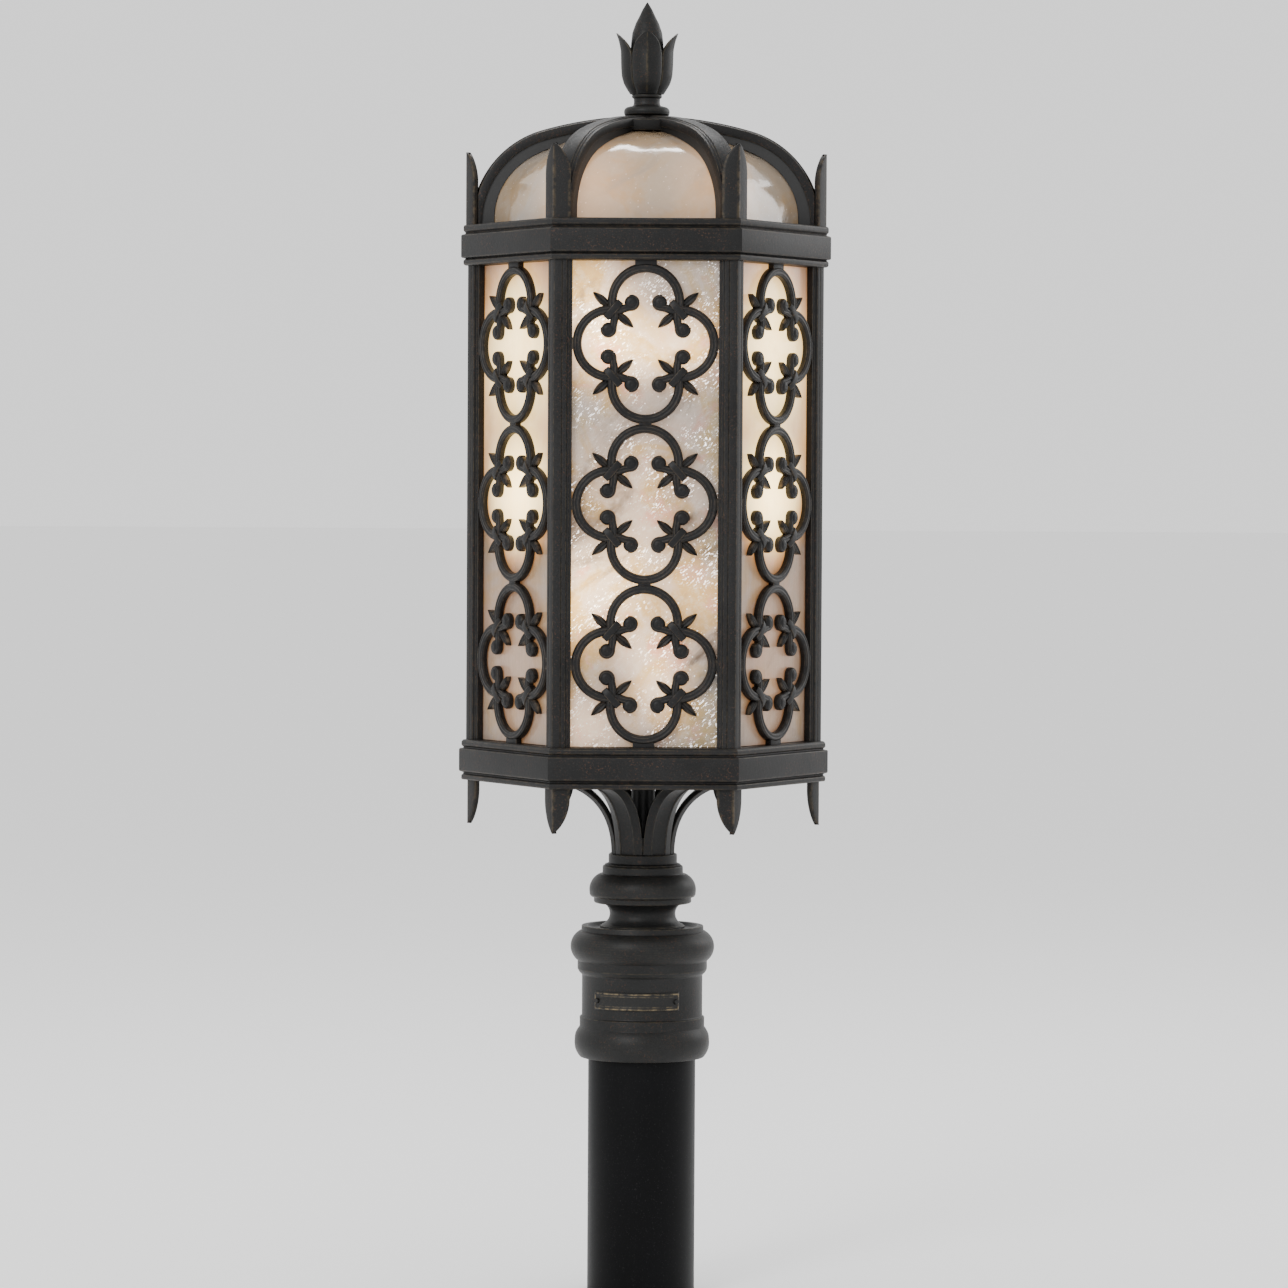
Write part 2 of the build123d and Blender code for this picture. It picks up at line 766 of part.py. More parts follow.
clip_corner = clip_face / face_cos
clip_levels = (z_stile + clip_inset, z_head - clip_inset)
with BuildPart() as clip:
    for z_clip in clip_levels:
        with BuildSketch(Plane.XY.offset(z_clip - clip_h / 2)):
            with BuildLine():
                Polyline(
                    (clip_corner, 0),
                    on_face(clip_corner, clip_arm, 0),
                    on_face(clip_corner, clip_arm, clip_t),
                    (clip_corner - clip_t / face_cos, 0),
                    close=True,
                )
            make_face()
            mirror(about=Plane.XZ)
        extrude(amount=clip_h)
        with BuildSketch(face(0, clip_corner - 5, z_clip)):
            Circle(clip_screw_r + screw_fit)
        extrude(amount=10, mode=Mode.SUBTRACT)
with BuildPart() as glass_clips:
    with PolarLocations(0, sides):
        add(clip.part)
save(glass_clips.part, "glass_clips")

clip_seat = clip_corner - clip_t / face_cos - clip_head_r * face_tan
with BuildPart() as clip_screw:
    for z_clip in clip_levels:
        with BuildSketch(face(0, clip_seat, z_clip)):
            Circle(clip_screw_r)
        extrude(amount=stile_inner_r + 4 - clip_seat)
        with BuildSketch(face(0, clip_seat - clip_head_h, z_clip)):
            Circle(clip_head_r)
        extrude(amount=clip_head_h)
with BuildPart() as clip_screws:
    with PolarLocations(0, sides):
        add(clip_screw.part)
save(clip_screws.part, "clip_screws")

# ==== top rail ====================================================================================
with BuildPart() as top_rail:
    for z_low, height, radius in (
        (z_head, head_lip_h, rail_lip_r),
        (z_head_band, band_h, band_r),
        (z_head_groove, head_groove_h, rail_groove_r),
    ):
        with BuildSketch(Plane.XY.offset(z_low)):
            RegularPolygon(radius, sides)
        extrude(amount=height)
    with BuildSketch(Plane.XY.offset(z_head + flange_t)):
        RegularPolygon(wall_r, sides)
    extrude(amount=z_rim - z_head - flange_t, mode=Mode.SUBTRACT)
    with BuildSketch(Plane.XY.offset(z_head)):
        RegularPolygon(rail_open_r, sides)
        with PolarLocations(stile_screw_at, sides):
            Circle(stile_screw_r + screw_fit)
    extrude(amount=flange_t, mode=Mode.SUBTRACT)
save(top_rail.part, "top_rail")

# ==== lamps =======================================================================================
lamp_angles = [30 + 360 / lamps * i for i in range(lamps)]
with BuildPart() as lamp_bracket:
    with BuildSketch(Plane.XY.offset(z_bracket)):
        Circle(bracket_w + 3)
        for angle in lamp_angles:
            with Locations(Location((0, 0), angle)):
                with Locations((lamp_r / 2, 0)):
                    Rectangle(lamp_r, bracket_w)
        with PolarLocations(lamp_r, lamps, start_angle=lamp_angles[0]):
            Circle(sleeve_r + 1)
        Circle(stem_r + screw_fit, mode=Mode.SUBTRACT)
    extrude(amount=bracket_t)
save(lamp_bracket.part, "lamp_bracket")

z_coupling = z_holder
with BuildPart() as rod_coupling:
    with BuildSketch(Plane.XY.offset(z_coupling)):
        Circle(coupling_r)
    extrude(amount=coupling_h)
    with BuildSketch(Plane.XY.offset(z_coupling)):
        Circle(stem_r + thread_fit)
    extrude(amount=8, mode=Mode.SUBTRACT)
    with BuildSketch(Plane.XY.offset(z_coupling)):
        Circle(rod_r)
    extrude(amount=coupling_h, mode=Mode.SUBTRACT)
    chamfer(rod_coupling.faces().sort_by(Axis.Z)[-1].edges().sort_by(SortBy.LENGTH)[-1], 1.5)
save(rod_coupling.part, "rod_coupling")

with BuildPart() as centre_rod:
    with BuildSketch(Plane.XY.offset(z_coupling + 8.5)):
        Circle(rod_r)
    extrude(amount=z_rod_top - z_coupling - 8.5)
save(centre_rod.part, "centre_rod")

z_cup = z_holder + holder_foot_h
z_cup_top = z_cup + holder_h
z_lamp_cap = z_cup_top - cap_in
for number, angle in enumerate(lamp_angles, 1):
    x, y = lamp_r * cos(radians(angle)), lamp_r * sin(radians(angle))
    with BuildPart() as lampholder:
        with BuildSketch(Plane.XY.offset(z_holder)):
            with Locations((x, y)):
                Circle(holder_foot_r)
        extrude(amount=holder_foot_h)
        with BuildSketch(Plane.XY.offset(z_cup)):
            with Locations((x, y)):
                Circle(holder_r)
        extrude(amount=holder_h)
        with BuildSketch(Plane.XY.offset(z_lamp_cap - 1)):
            with Locations((x, y)):
                Circle(cap_r + turn_fit)
        extrude(amount=cap_in + 1, mode=Mode.SUBTRACT)
    save(lampholder.part, f"lampholder_{number}")
    with BuildPart() as candle_sleeve:
        with BuildSketch(Plane.XY.offset(z_holder)):
            with Locations((x, y)):
                Circle(sleeve_r)
                Circle(sleeve_r - sleeve_wall, mode=Mode.SUBTRACT)
        extrude(amount=z_cup_top + 1 - z_holder)
    save(candle_sleeve.part, f"candle_sleeve_{number}")
    with BuildPart() as bulb_cap:
        with BuildSketch(Plane.XY.offset(z_lamp_cap)):
            with Locations((x, y)):
                Circle(cap_r)
        extrude(amount=cap_h)
    save(bulb_cap.part, f"bulb_cap_{number}")
    with BuildPart() as bulb_glass:
        z_env = z_lamp_cap + cap_h
        for inset, mode in ((0, Mode.ADD), (envelope_wall, Mode.SUBTRACT)):
            with BuildSketch(Plane(origin=(x, y, 0), x_dir=(1, 0, 0), z_dir=(0, -1, 0))):
                with BuildLine():
                    low, top = z_env + inset, z_env + envelope_h - 3 * inset
                    wide_at = z_env + envelope_h * 0.42
                    Line((0, low), (cap_r - inset, low))
                    Spline(
                        (cap_r - inset, low),
                        (envelope_r - inset, wide_at),
                        (envelope_r * 0.45 - inset * 0.8, z_env + envelope_h * 0.85 - inset),
                        (0, top),
                        tangents=((0.5, 1), (-0.3, 1)),
                    )
                    Line((0, top), (0, low))
                make_face()
            revolve(axis=Axis((x, y, 0), (0, 0, 1)), mode=mode)
    save(bulb_glass.part, f"bulb_glass_{number}")

# ==== roof ========================================================================================
with BuildPart() as roof_rim:
    with BuildSketch(Plane.XY.offset(z_rim)):
        RegularPolygon(rail_groove_r, sides)
    extrude(amount=0.6)
    with BuildSketch(Plane.XY.offset(z_rim + 0.6)):
        RegularPolygon(rail_lip_r, sides)
    extrude(amount=rim_h - 0.6)
    with BuildSketch(Plane.XY.offset(z_rim - spigot_h)):
        RegularPolygon(wall_r - roof_fit / face_cos, sides)
    extrude(amount=spigot_h)
    with BuildSketch(Plane.XY.offset(z_rim - spigot_h)):
        RegularPolygon(wall_r - (roof_fit + spigot_t) / face_cos, sides)
    extrude(amount=spigot_h, mode=Mode.SUBTRACT)
    with BuildSketch(Plane.XY.offset(z_rim)):
        RegularPolygon(rail_open_r - 8, sides)
    extrude(amount=rim_h, mode=Mode.SUBTRACT)
save(roof_rim.part, "roof_rim")

rib_shape = (rib_out_r, z_roof, rib_rise, rib_haunch, rib_straight)
dome_shape = (dome_hip_r * face_cos, z_roof, dome_rise, dome_haunch, dome_straight)
spike_back_r = spike_r - blade_t / face_cos
rib_start_r = hub_r - 4
with BuildPart() as rib:
    with BuildSketch(radial(0)):
        with BuildLine():
            arch_band(rib_shape, rib_strip_h, rib_t, rib_start_r)
        make_face()
    extrude(amount=rib_w / 2, both=True)
    with BuildSketch(radial(0)):
        with BuildLine():
            arch_band(rib_shape, 0, rib_t / 2, rib_start_r)
        make_face()
    extrude(amount=rib_strip_w / 2, both=True)
    with BuildSketch(Plane.XY.offset(z_roof)):
        RegularPolygon(spike_back_r, sides)
    extrude(amount=rib_rise, mode=Mode.INTERSECT)
with BuildPart() as roof_ribs:
    with PolarLocations(0, sides):
        add(rib.part)
    with BuildSketch(Plane.XY.offset(z_crown - rib_t - hub_drop)):
        Circle(hub_r)
    extrude(amount=z_disc - z_crown + rib_t + hub_drop)
    with BuildSketch(Plane.XY.offset(z_crown - 2 * rib_t)):
        Circle(rod_r + roof_fit)
    extrude(amount=3 * rib_t, mode=Mode.SUBTRACT)
save(roof_ribs.part, "roof_ribs")

with BuildPart() as spike:
    corner = Plane(
        origin=(spike_r, 0, z_roof),
        x_dir=(-sin(radians(half_angle)), face_cos, 0),
        z_dir=(face_cos, sin(radians(half_angle)), 0),
    )
    with BuildSketch(corner):
        with BuildLine():
            blade_line(spike_w, spike_straight, spike_h)
        make_face()
    extrude(amount=-blade_t)
    mirror(about=Plane.XZ)
with BuildPart() as crown_spikes:
    with PolarLocations(0, sides):
        add(spike.part)
save(crown_spikes.part, "crown_spikes")

dome_reach = dome_hip_r + 5


def wedge_line(start):
    """Draw the sixth of a turn about +x that begins at this distance from the axis."""
    side = (dome_reach - start) * face_tan
    Polyline((start, 0), (dome_reach, side), (dome_reach, -side), close=True)


with BuildPart() as dome_panel:
    with BuildSketch(radial(0)):
        with BuildLine():
            arch_band(dome_shape, 0, dome_t, dome_eye_r)
        make_face()
    extrude(amount=dome_reach * face_tan, both=True)
    with BuildSketch(Plane.XY.offset(z_roof)):
        with BuildLine():
            wedge_line(dome_seam / sin(radians(half_angle)))
        make_face()
    extrude(amount=dome_rise, mode=Mode.INTERSECT)
with BuildPart() as dome_glass:
    with PolarLocations(0, sides, start_angle=half_angle):
        add(dome_panel.part)
save(dome_glass.part, "dome_glass")

with BuildPart() as dome_core:
    with BuildSketch(radial(0)):
        with BuildLine():
            foot, crest = arch_edge(*dome_shape, 0, dome_eye_r)
            Polyline(crest, (0, crest.Y), (0, z_roof), foot)
        make_face()
    extrude(amount=dome_reach * face_tan, both=True)
    with BuildSketch(Plane.XY.offset(z_roof)):
        with BuildLine():
            wedge_line(0)
        make_face()
    extrude(amount=dome_rise, mode=Mode.INTERSECT)
with BuildPart() as seal:
    with BuildSketch(radial(0)):
        with BuildLine():
            arch_band(rib_shape, rib_t, 2.3 * rib_t, hub_r + 1)
        make_face()
    extrude(amount=seal_w / 2, both=True)
    with PolarLocations(0, 2, start_angle=-half_angle, angular_range=4 * half_angle):
        add(dome_core.part, mode=Mode.SUBTRACT)
with BuildPart() as dome_seals:
    with PolarLocations(0, sides):
        add(seal.part)
save(dome_seals.part, "dome_seals")

# ==== finial ======================================================================================
with BuildPart() as finial_spear:
    with BuildSketch(Plane.XZ):
        with BuildLine():
            bore = rod_r + turn_fit
            spear_wide = z_calyx + 0.62 * calyx_h
            Polyline(
                (bore, z_disc),
                (disc_r - 1, z_disc),
                (disc_r, z_disc + 1),
                (disc_r, z_disc + disc_h - 2.6),
            )
            ThreePointArc(
                (disc_r, z_disc + disc_h - 2.6),
                (disc_r - 2.4, z_disc + disc_h - 0.6),
                (finial_neck_r, z_disc + disc_h),
            )
            Polyline(
                (finial_neck_r, z_disc + disc_h),
                (finial_neck_r, z_ring),
                (finial_ring_r, z_ring + 0.7),
                (finial_ring_r, z_calyx - 0.7),
                (finial_ring_r - 0.8, z_calyx),
            )
            Polyline(
                (finial_ring_r - 0.8, z_calyx),
                (spear_r, z_calyx + 0.35 * calyx_h),
                (spear_r, spear_wide),
            )
            Spline(
                (spear_r, spear_wide),
                (0.62 * spear_r, z_calyx + spear_h - 13.5),
                (0, z_calyx + spear_h),
                tangents=((0, 1), (-0.6, 1)),
            )
            Polyline(
                (0, z_calyx + spear_h),
                (0, z_rod_top + 1),
                (bore, z_rod_top + 1),
                (bore, z_disc),
            )
        make_face()
    revolve(axis=Axis.Z)
save(finial_spear.part, "finial_spear")

with BuildPart() as finial_calyx:
    with BuildSketch(Plane.XZ):
        with BuildLine():
            belly = (18.2, z_calyx + 0.42 * calyx_h)
            Line((finial_ring_r - 0.5, z_calyx), (finial_ring_r + 2, z_calyx))
            ThreePointArc((finial_ring_r + 2, z_calyx), (16.4, z_calyx + 7.5), belly)
            ThreePointArc(belly, (18.9, z_calyx + 0.76 * calyx_h), (calyx_tip_r, z_calyx + calyx_h))
            Line((calyx_tip_r, z_calyx + calyx_h), (calyx_tip_r - calyx_wall, z_calyx + calyx_h))
            Line((calyx_tip_r - calyx_wall, z_calyx + calyx_h), (spear_r + 0.3, z_calyx + 0.8 * calyx_h))
            Line((spear_r + 0.3, z_calyx + 0.8 * calyx_h), (spear_r + 0.3, z_calyx + 0.35 * calyx_h))
            Line((spear_r + 0.3, z_calyx + 0.35 * calyx_h), (finial_ring_r - 0.5, z_calyx))
        make_face()
    revolve(axis=Axis.Z)
    for i in range(petals):
        with BuildSketch(face(45 + 360 / petals * i, 0, z_calyx + calyx_h)):
            notch = 2 * calyx_tip_r * sin(radians(180 / petals)) / 2
            with BuildLine():
                Polyline((0, -calyx_dip), (notch, 0.5), (-notch, 0.5), close=True)
            make_face()
        extrude(amount=2 * calyx_tip_r, mode=Mode.SUBTRACT)
save(finial_calyx.part, "finial_calyx")

print(f"post top {post_top:.1f}, arm root {z_arm:.1f}, pan {z_pan:.1f}, rail {z_rail:.1f}")
print(f"head {z_head:.1f}, roof {z_roof:.1f}, crown {z_crown:.1f}, tip {z_calyx + spear_h:.1f}")
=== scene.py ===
from math import atan2, cos, hypot, pi, radians, sin, sqrt, tan

import bpy
import numpy as np
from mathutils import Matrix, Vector


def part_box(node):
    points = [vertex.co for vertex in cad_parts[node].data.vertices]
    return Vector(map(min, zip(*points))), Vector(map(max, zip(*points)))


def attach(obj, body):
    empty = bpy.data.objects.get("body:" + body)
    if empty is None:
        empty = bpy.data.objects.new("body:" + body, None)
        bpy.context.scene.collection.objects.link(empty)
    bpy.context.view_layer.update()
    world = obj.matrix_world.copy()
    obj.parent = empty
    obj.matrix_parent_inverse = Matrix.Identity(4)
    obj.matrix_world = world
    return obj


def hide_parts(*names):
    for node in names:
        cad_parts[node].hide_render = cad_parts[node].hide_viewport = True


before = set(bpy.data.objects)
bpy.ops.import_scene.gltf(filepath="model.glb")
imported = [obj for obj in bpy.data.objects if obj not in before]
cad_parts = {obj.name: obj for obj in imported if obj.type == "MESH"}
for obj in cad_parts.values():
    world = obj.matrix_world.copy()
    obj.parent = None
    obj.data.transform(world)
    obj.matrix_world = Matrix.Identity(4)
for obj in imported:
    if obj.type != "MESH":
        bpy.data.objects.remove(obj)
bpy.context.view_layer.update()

# Lengths below are millimetres in the lantern's own frame; piece() turns them into metres.
MM = 0.001
HALF_SIDE = radians(30)
COS, SIN, TAN = cos(HALF_SIDE), sin(HALF_SIDE), tan(HALF_SIDE)
CORNERS = np.radians(np.arange(6) * 60.0)
FACES = CORNERS + HALF_SIDE


def low(node):
    """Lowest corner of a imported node."""
    return np.array(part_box(node)[0]) / MM


def high(node):
    """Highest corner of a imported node."""
    return np.array(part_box(node)[1]) / MM


# ---- levels and radii read from the frame -------------------------------------------------------
post_r, post_top = high("post_tube")[0], high("post_tube")[2]
fitter_low, fitter_top = low("post_fitter")[2], high("post_fitter")[2]
neck_low, neck_top = low("neck")[2], high("neck")[2]
arm_low = low("support_arms")[2]
rail_low, sill = low("bottom_rail")[2], high("bottom_rail")[2]
head, head_top = low("top_rail")[2], high("top_rail")[2]
roof = high("roof_rim")[2]
band_r = high("bottom_rail")[0]
stile_r = high("stile_1")[0]
opening_half = high("grille_5")[0]
grille_back = -high("grille_5")[1]
grille_front = -low("grille_5")[1]
glass_front = -low("glass_panel_5")[1]
glass_back = -high("glass_panel_5")[1]
glass_half = high("glass_panel_5")[0]
spike_r, spike_top = high("crown_spikes")[0], high("crown_spikes")[2]
pendant_r, pendant_low = high("pendants")[0], low("pendants")[2]
rib_r = high("roof_ribs")[0]
dome_hip_r = high("dome_glass")[0]
calyx_low, calyx_top = low("finial_calyx")[2], high("finial_calyx")[2]
calyx_r = high("finial_calyx")[0]
tip = high("finial_spear")[2]


# ==== surfaces ====================================================================================
def rounded(outline, radius=0.5, steps=3, closed=True):
    """Round an outline's corners: each corner v becomes a short parabola from the points a distance d
    before and after it, (1-t)^2 a + 2t(1-t) v + t^2 b, where d is the radius or 0.45 of the side.
    Also gives each point's edge mask: 1 in the middle of a corner that stands out, 0 elsewhere; it colours
    edges as rubbed wear and as a painted edge highlight."""
    v = np.asarray(outline, float)
    before, after = np.roll(v, 1, 0), np.roll(v, -1, 0)
    to_before, to_after = before - v, after - v
    reach_b = np.maximum(np.hypot(*to_before.T), 1e-9)
    reach_a = np.maximum(np.hypot(*to_after.T), 1e-9)
    d = np.minimum(radius, 0.45 * np.minimum(reach_a, reach_b))
    a = v + to_before * (d / reach_b)[:, None]
    b = v + to_after * (d / reach_a)[:, None]
    t = np.linspace(0, 1, steps)[None, :, None]
    curve = (1 - t) ** 2 * a[:, None] + 2 * t * (1 - t) * v[:, None] + t**2 * b[:, None]
    turn = to_before[:, 0] * to_after[:, 1] - to_before[:, 1] * to_after[:, 0]
    area = np.sum(v[:, 0] * after[:, 1] - v[:, 1] * after[:, 0])
    sharp = np.clip(np.abs(turn) / (reach_a * reach_b), 0, 1)
    bare_and_highlit = (turn * area < 0) * sharp
    worn_and_highlit = bare_and_highlit[:, None] * np.sin(pi * np.linspace(0, 1, steps))[None, :]
    if not closed:
        curve = np.concatenate([v[:1], curve[1:-1].reshape(-1, 2), v[-1:]])
        worn_and_highlit = np.concatenate([[0], worn_and_highlit[1:-1].ravel(), [0]])
        return curve, worn_and_highlit
    return curve.reshape(-1, 2), worn_and_highlit.ravel()


def grid(points, worn_and_highlit=0.0, ring=False, loop=False, capped=False):
    """A shell on a grid: points[i, j] joined to its neighbours. ring closes j, loop closes i, and
    capped puts a flat face across both ends of a ring."""
    n, m = points.shape[:2]
    index = np.arange(n * m).reshape(n, m)
    i = index if loop else index[:-1]
    nxt = np.roll(index, -1, 0) if loop else index[1:]
    right_i = np.roll(i, -1, 1) if ring else i[:, 1:]
    right_n = np.roll(nxt, -1, 1) if ring else nxt[:, 1:]
    left_i, left_n = (i, nxt) if ring else (i[:, :-1], nxt[:, :-1])
    quads = np.stack([left_i, left_n, right_n, right_i], -1).reshape(-1, 4).tolist()
    if capped:
        quads += [index[0].tolist(), index[-1][::-1].tolist()]
    rub_and_highlight = np.broadcast_to(worn_and_highlit, (n, m)).ravel()
    return points.reshape(-1, 3), quads, rub_and_highlight


def closed_slab(front, back, worn_and_highlit=0.0):
    """Two matching grids, front[i, j] and back[i, j], with their edges joined into one closed shell."""
    n, m = front.shape[:2]
    rim = [(i, 0) for i in range(n)] + [(n - 1, j) for j in range(1, m)]
    rim += [(i, m - 1) for i in range(n - 2, -1, -1)] + [(0, j) for j in range(m - 2, 0, -1)]
    f_points, f_faces, f_rub_and_highlight = grid(front, worn_and_highlit)
    b_points, b_faces, b_rub_and_highlight = grid(back)
    start = len(f_points)
    edge = np.array([a * m + b for a, b in rim])
    follow = np.roll(edge, -1)
    sides = np.stack([edge, edge + start, follow + start, follow], -1).tolist()
    flipped = [[k + start for k in quad[::-1]] for quad in b_faces]
    return np.concatenate([f_points, b_points]), f_faces + flipped + sides, np.concatenate([f_rub_and_highlight, b_rub_and_highlight])


def outward(shell):
    """Turn a closed shell so that its faces look outwards: its signed volume becomes positive."""
    points, faces, rub_and_highlight = shell
    volume = 0.0
    for size in {len(f) for f in faces}:
        group = points[np.array([f for f in faces if len(f) == size])]
        for k in range(1, size - 1):
            volume += np.einsum("ij,ij->", group[:, 0], np.cross(group[:, k], group[:, k + 1]))
    return (points, faces if volume > 0 else [f[::-1] for f in faces], rub_and_highlight)


def joined(shells):
    """Several shells in one mesh."""
    points, faces, rubs_and_highlights, start = [], [], [], 0
    for p, f, r in map(outward, shells):
        points.append(p)
        rubs_and_highlights.append(r)
        faces += [[k + start for k in face] for face in f]
        start += len(p)
    return np.concatenate(points), faces, np.concatenate(rubs_and_highlights)


def turned(outline, worn_and_highlit=None, steps=128, ripple=None):
    """A closed outline of (radius, z) carried once round the axis."""
    outline = np.asarray(outline, float)
    around = np.arange(steps) / steps * 2 * pi
    r = np.maximum(outline[None, :, 0], 0) * np.ones((steps, 1))
    if ripple is not None:
        r = ripple(r, around[:, None], outline[None, :, 1])
    z = np.broadcast_to(outline[None, :, 1], r.shape)
    points = np.stack([r * np.cos(around)[:, None], r * np.sin(around)[:, None], z], -1)
    return grid(points, 0.0 if worn_and_highlit is None else worn_and_highlit[None, :], ring=True, loop=True)


def six_sided(outline, worn_and_highlit, soft=0.8, steps=4):
    """A closed outline of (corner radius, z) carried round a hexagon whose corners are arcs of radius
    soft: each arc's centre stands at ((R cos 30 - soft) / cos 30) on its corner's line."""
    arc = np.linspace(-HALF_SIDE, HALF_SIDE, steps)
    centre = (outline[:, 0] * COS - soft) / COS
    turn = (CORNERS[:, None] + arc[None, :]).ravel()
    hub = np.repeat(CORNERS, steps)
    x = centre[None, :] * np.cos(hub)[:, None] + soft * np.cos(turn)[:, None]
    y = centre[None, :] * np.sin(hub)[:, None] + soft * np.sin(turn)[:, None]
    z = np.broadcast_to(outline[None, :, 1], x.shape)
    return grid(np.stack([x, y, z], -1), worn_and_highlit[None, :], ring=True, loop=True)


def carried(path, side, up, section, worn_and_highlit, scale=1.0, capped=True):
    """A cross-section (s, t) carried along a path: path + s*scale*side + t*up at each of its points."""
    scale = np.broadcast_to(scale, len(path))[:, None, None]
    across = section[None, :, :1] * scale * side[:, None]
    points = path[:, None] + across + section[None, :, 1:] * up[:, None]
    return grid(points, worn_and_highlit[None, :], ring=True, capped=capped)


def turned_copies(shell, angles):
    """Copies of a shell turned about the lantern's axis."""
    points, faces, rub_and_highlight = shell
    copies = []
    for a in angles:
        turn = np.array([[cos(a), sin(a), 0], [-sin(a), cos(a), 0], [0, 0, 1]])
        copies.append((points @ turn, faces, rub_and_highlight))
    return copies


def on_face(shell, angle):
    """Move a shell drawn flat, (along the face, z, out from the axis), on to the face at an angle."""
    points, faces, rub_and_highlight = shell
    along, z, out = points.T
    x = out * cos(angle) - along * sin(angle)
    y = out * sin(angle) + along * cos(angle)
    return np.stack([x, y, z], -1), faces, rub_and_highlight


def arc_points(start, through, end, steps):
    """Points of the circle's arc through three points of a plane."""
    (ax, ay), (bx, by), (cx, cy) = start, through, end
    d = 2 * (ax * (by - cy) + bx * (cy - ay) + cx * (ay - by))
    aa, bb, cc = ax**2 + ay**2, bx**2 + by**2, cx**2 + cy**2
    ox = (aa * (by - cy) + bb * (cy - ay) + cc * (ay - by)) / d
    oy = (aa * (cx - bx) + bb * (ax - cx) + cc * (bx - ax)) / d
    first = atan2(ay - oy, ax - ox)
    mid = (atan2(by - oy, bx - ox) - first) % (2 * pi)
    last = (atan2(cy - oy, cx - ox) - first) % (2 * pi)
    sweep = last if mid < last else last - 2 * pi
    t = first + sweep * np.linspace(0, 1, steps)
    r = hypot(ax - ox, ay - oy)
    return np.stack([ox + r * np.cos(t), oy + r * np.sin(t)], -1)


def soft_noise(shape, cells, seed):
    """Smooth noise from -1 to 1: random heights on a lattice of cells, blended by s = 3t^2 - 2t^3."""
    rng = np.random.default_rng(seed)
    lattice = rng.uniform(-1, 1, (cells[0] + 2, cells[1] + 2))
    u = np.linspace(0, cells[0], shape[0])
    v = np.linspace(0, cells[1], shape[1])
    iu, iv = u.astype(int), v.astype(int)
    su, sv = u - iu, v - iv
    su, sv = (3 * su**2 - 2 * su**3)[:, None], (3 * sv**2 - 2 * sv**3)[None, :]
    a = lattice[np.ix_(iu, iv)] * (1 - su) + lattice[np.ix_(iu + 1, iv)] * su
    b = lattice[np.ix_(iu, iv + 1)] * (1 - su) + lattice[np.ix_(iu + 1, iv + 1)] * su
    return a * (1 - sv) + b * sv


def piece(name, shell, material, body, nodes, crease=32):
    """Make one object of a shell, smooth but for edges over the crease angle, riding on its body."""
    points, faces, rub_and_highlight = shell
    mesh = bpy.data.meshes.new(name)
    mesh.from_pydata(points * MM, [], faces)
    mesh.attributes.new("worn_and_highlit", "FLOAT", "POINT").data.foreach_set("value", rub_and_highlight.astype(np.float32))
    mesh.materials.append(material)
    mesh.validate()
    mesh.shade_smooth()
    mesh.set_sharp_from_angle(angle=radians(crease))
    made = bpy.data.objects.new(name, mesh)
    bpy.context.scene.collection.objects.link(made)
    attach(made, body)
    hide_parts(*nodes)
    return made


# ==== materials ===================================================================================
def put(tree, kind, feeds=None, **settings):
    """Add a shader node: feeds gives each input a value or another node's output."""
    node = tree.nodes.new("ShaderNode" + kind)
    for key, value in settings.items():
        setattr(node, key, value)
    for key, value in (feeds or {}).items():
        if isinstance(value, bpy.types.NodeSocket):
            tree.links.new(value, node.inputs[key])
        else:
            node.inputs[key].default_value = value
    return node


def mix(tree, amount, a, b):
    """Blend two colours."""
    return put(tree, "Mix", {0: amount, 6: a, 7: b}, data_type="RGBA").outputs[2]


def calc(tree, operation, a, b=0.5, c=0.5):
    """One arithmetic step, kept between 0 and 1 only where the operation says so."""
    return put(tree, "Math", {0: a, 1: b, 2: c}, operation=operation).outputs[0]


def above(tree, value, start, end):
    """A mask that climbs smoothly from 0 at start to 1 at end."""
    feeds = {"Value": value, "From Min": start, "From Max": end}
    return put(tree, "MapRange", feeds, interpolation_type="SMOOTHSTEP").outputs[0]


def place(tree, stretch=(1, 1, 1), turn=(0, 0, 0)):
    """Object coordinates in which a pattern is drawn out by stretch along axes turned by turn."""
    coords = put(tree, "TexCoord").outputs["Object"]
    feeds = {"Vector": coords, "Scale": stretch, "Rotation": turn}
    return put(tree, "Mapping", feeds, vector_type="TEXTURE").outputs[0]


def noise(tree, where, scale, detail=2.0, rough=0.5, bend=0.0):
    """Noise of so many cells to the metre."""
    feeds = {"Vector": where, "Scale": scale, "Detail": detail, "Roughness": rough, "Distortion": bend}
    return put(tree, "TexNoise", feeds).outputs[0]


def new_group(name, takes, gives):
    """A shader node group with named inputs and outputs."""
    tree = bpy.data.node_groups.new(name, "ShaderNodeTree")
    for socket, kind, value in takes:
        made = tree.interface.new_socket(socket, in_out="INPUT", socket_type="NodeSocket" + kind)
        made.default_value = value
    for socket, kind in gives:
        tree.interface.new_socket(socket, in_out="OUTPUT", socket_type="NodeSocket" + kind)
    return tree, tree.nodes.new("NodeGroupInput").outputs, tree.nodes.new("NodeGroupOutput").inputs


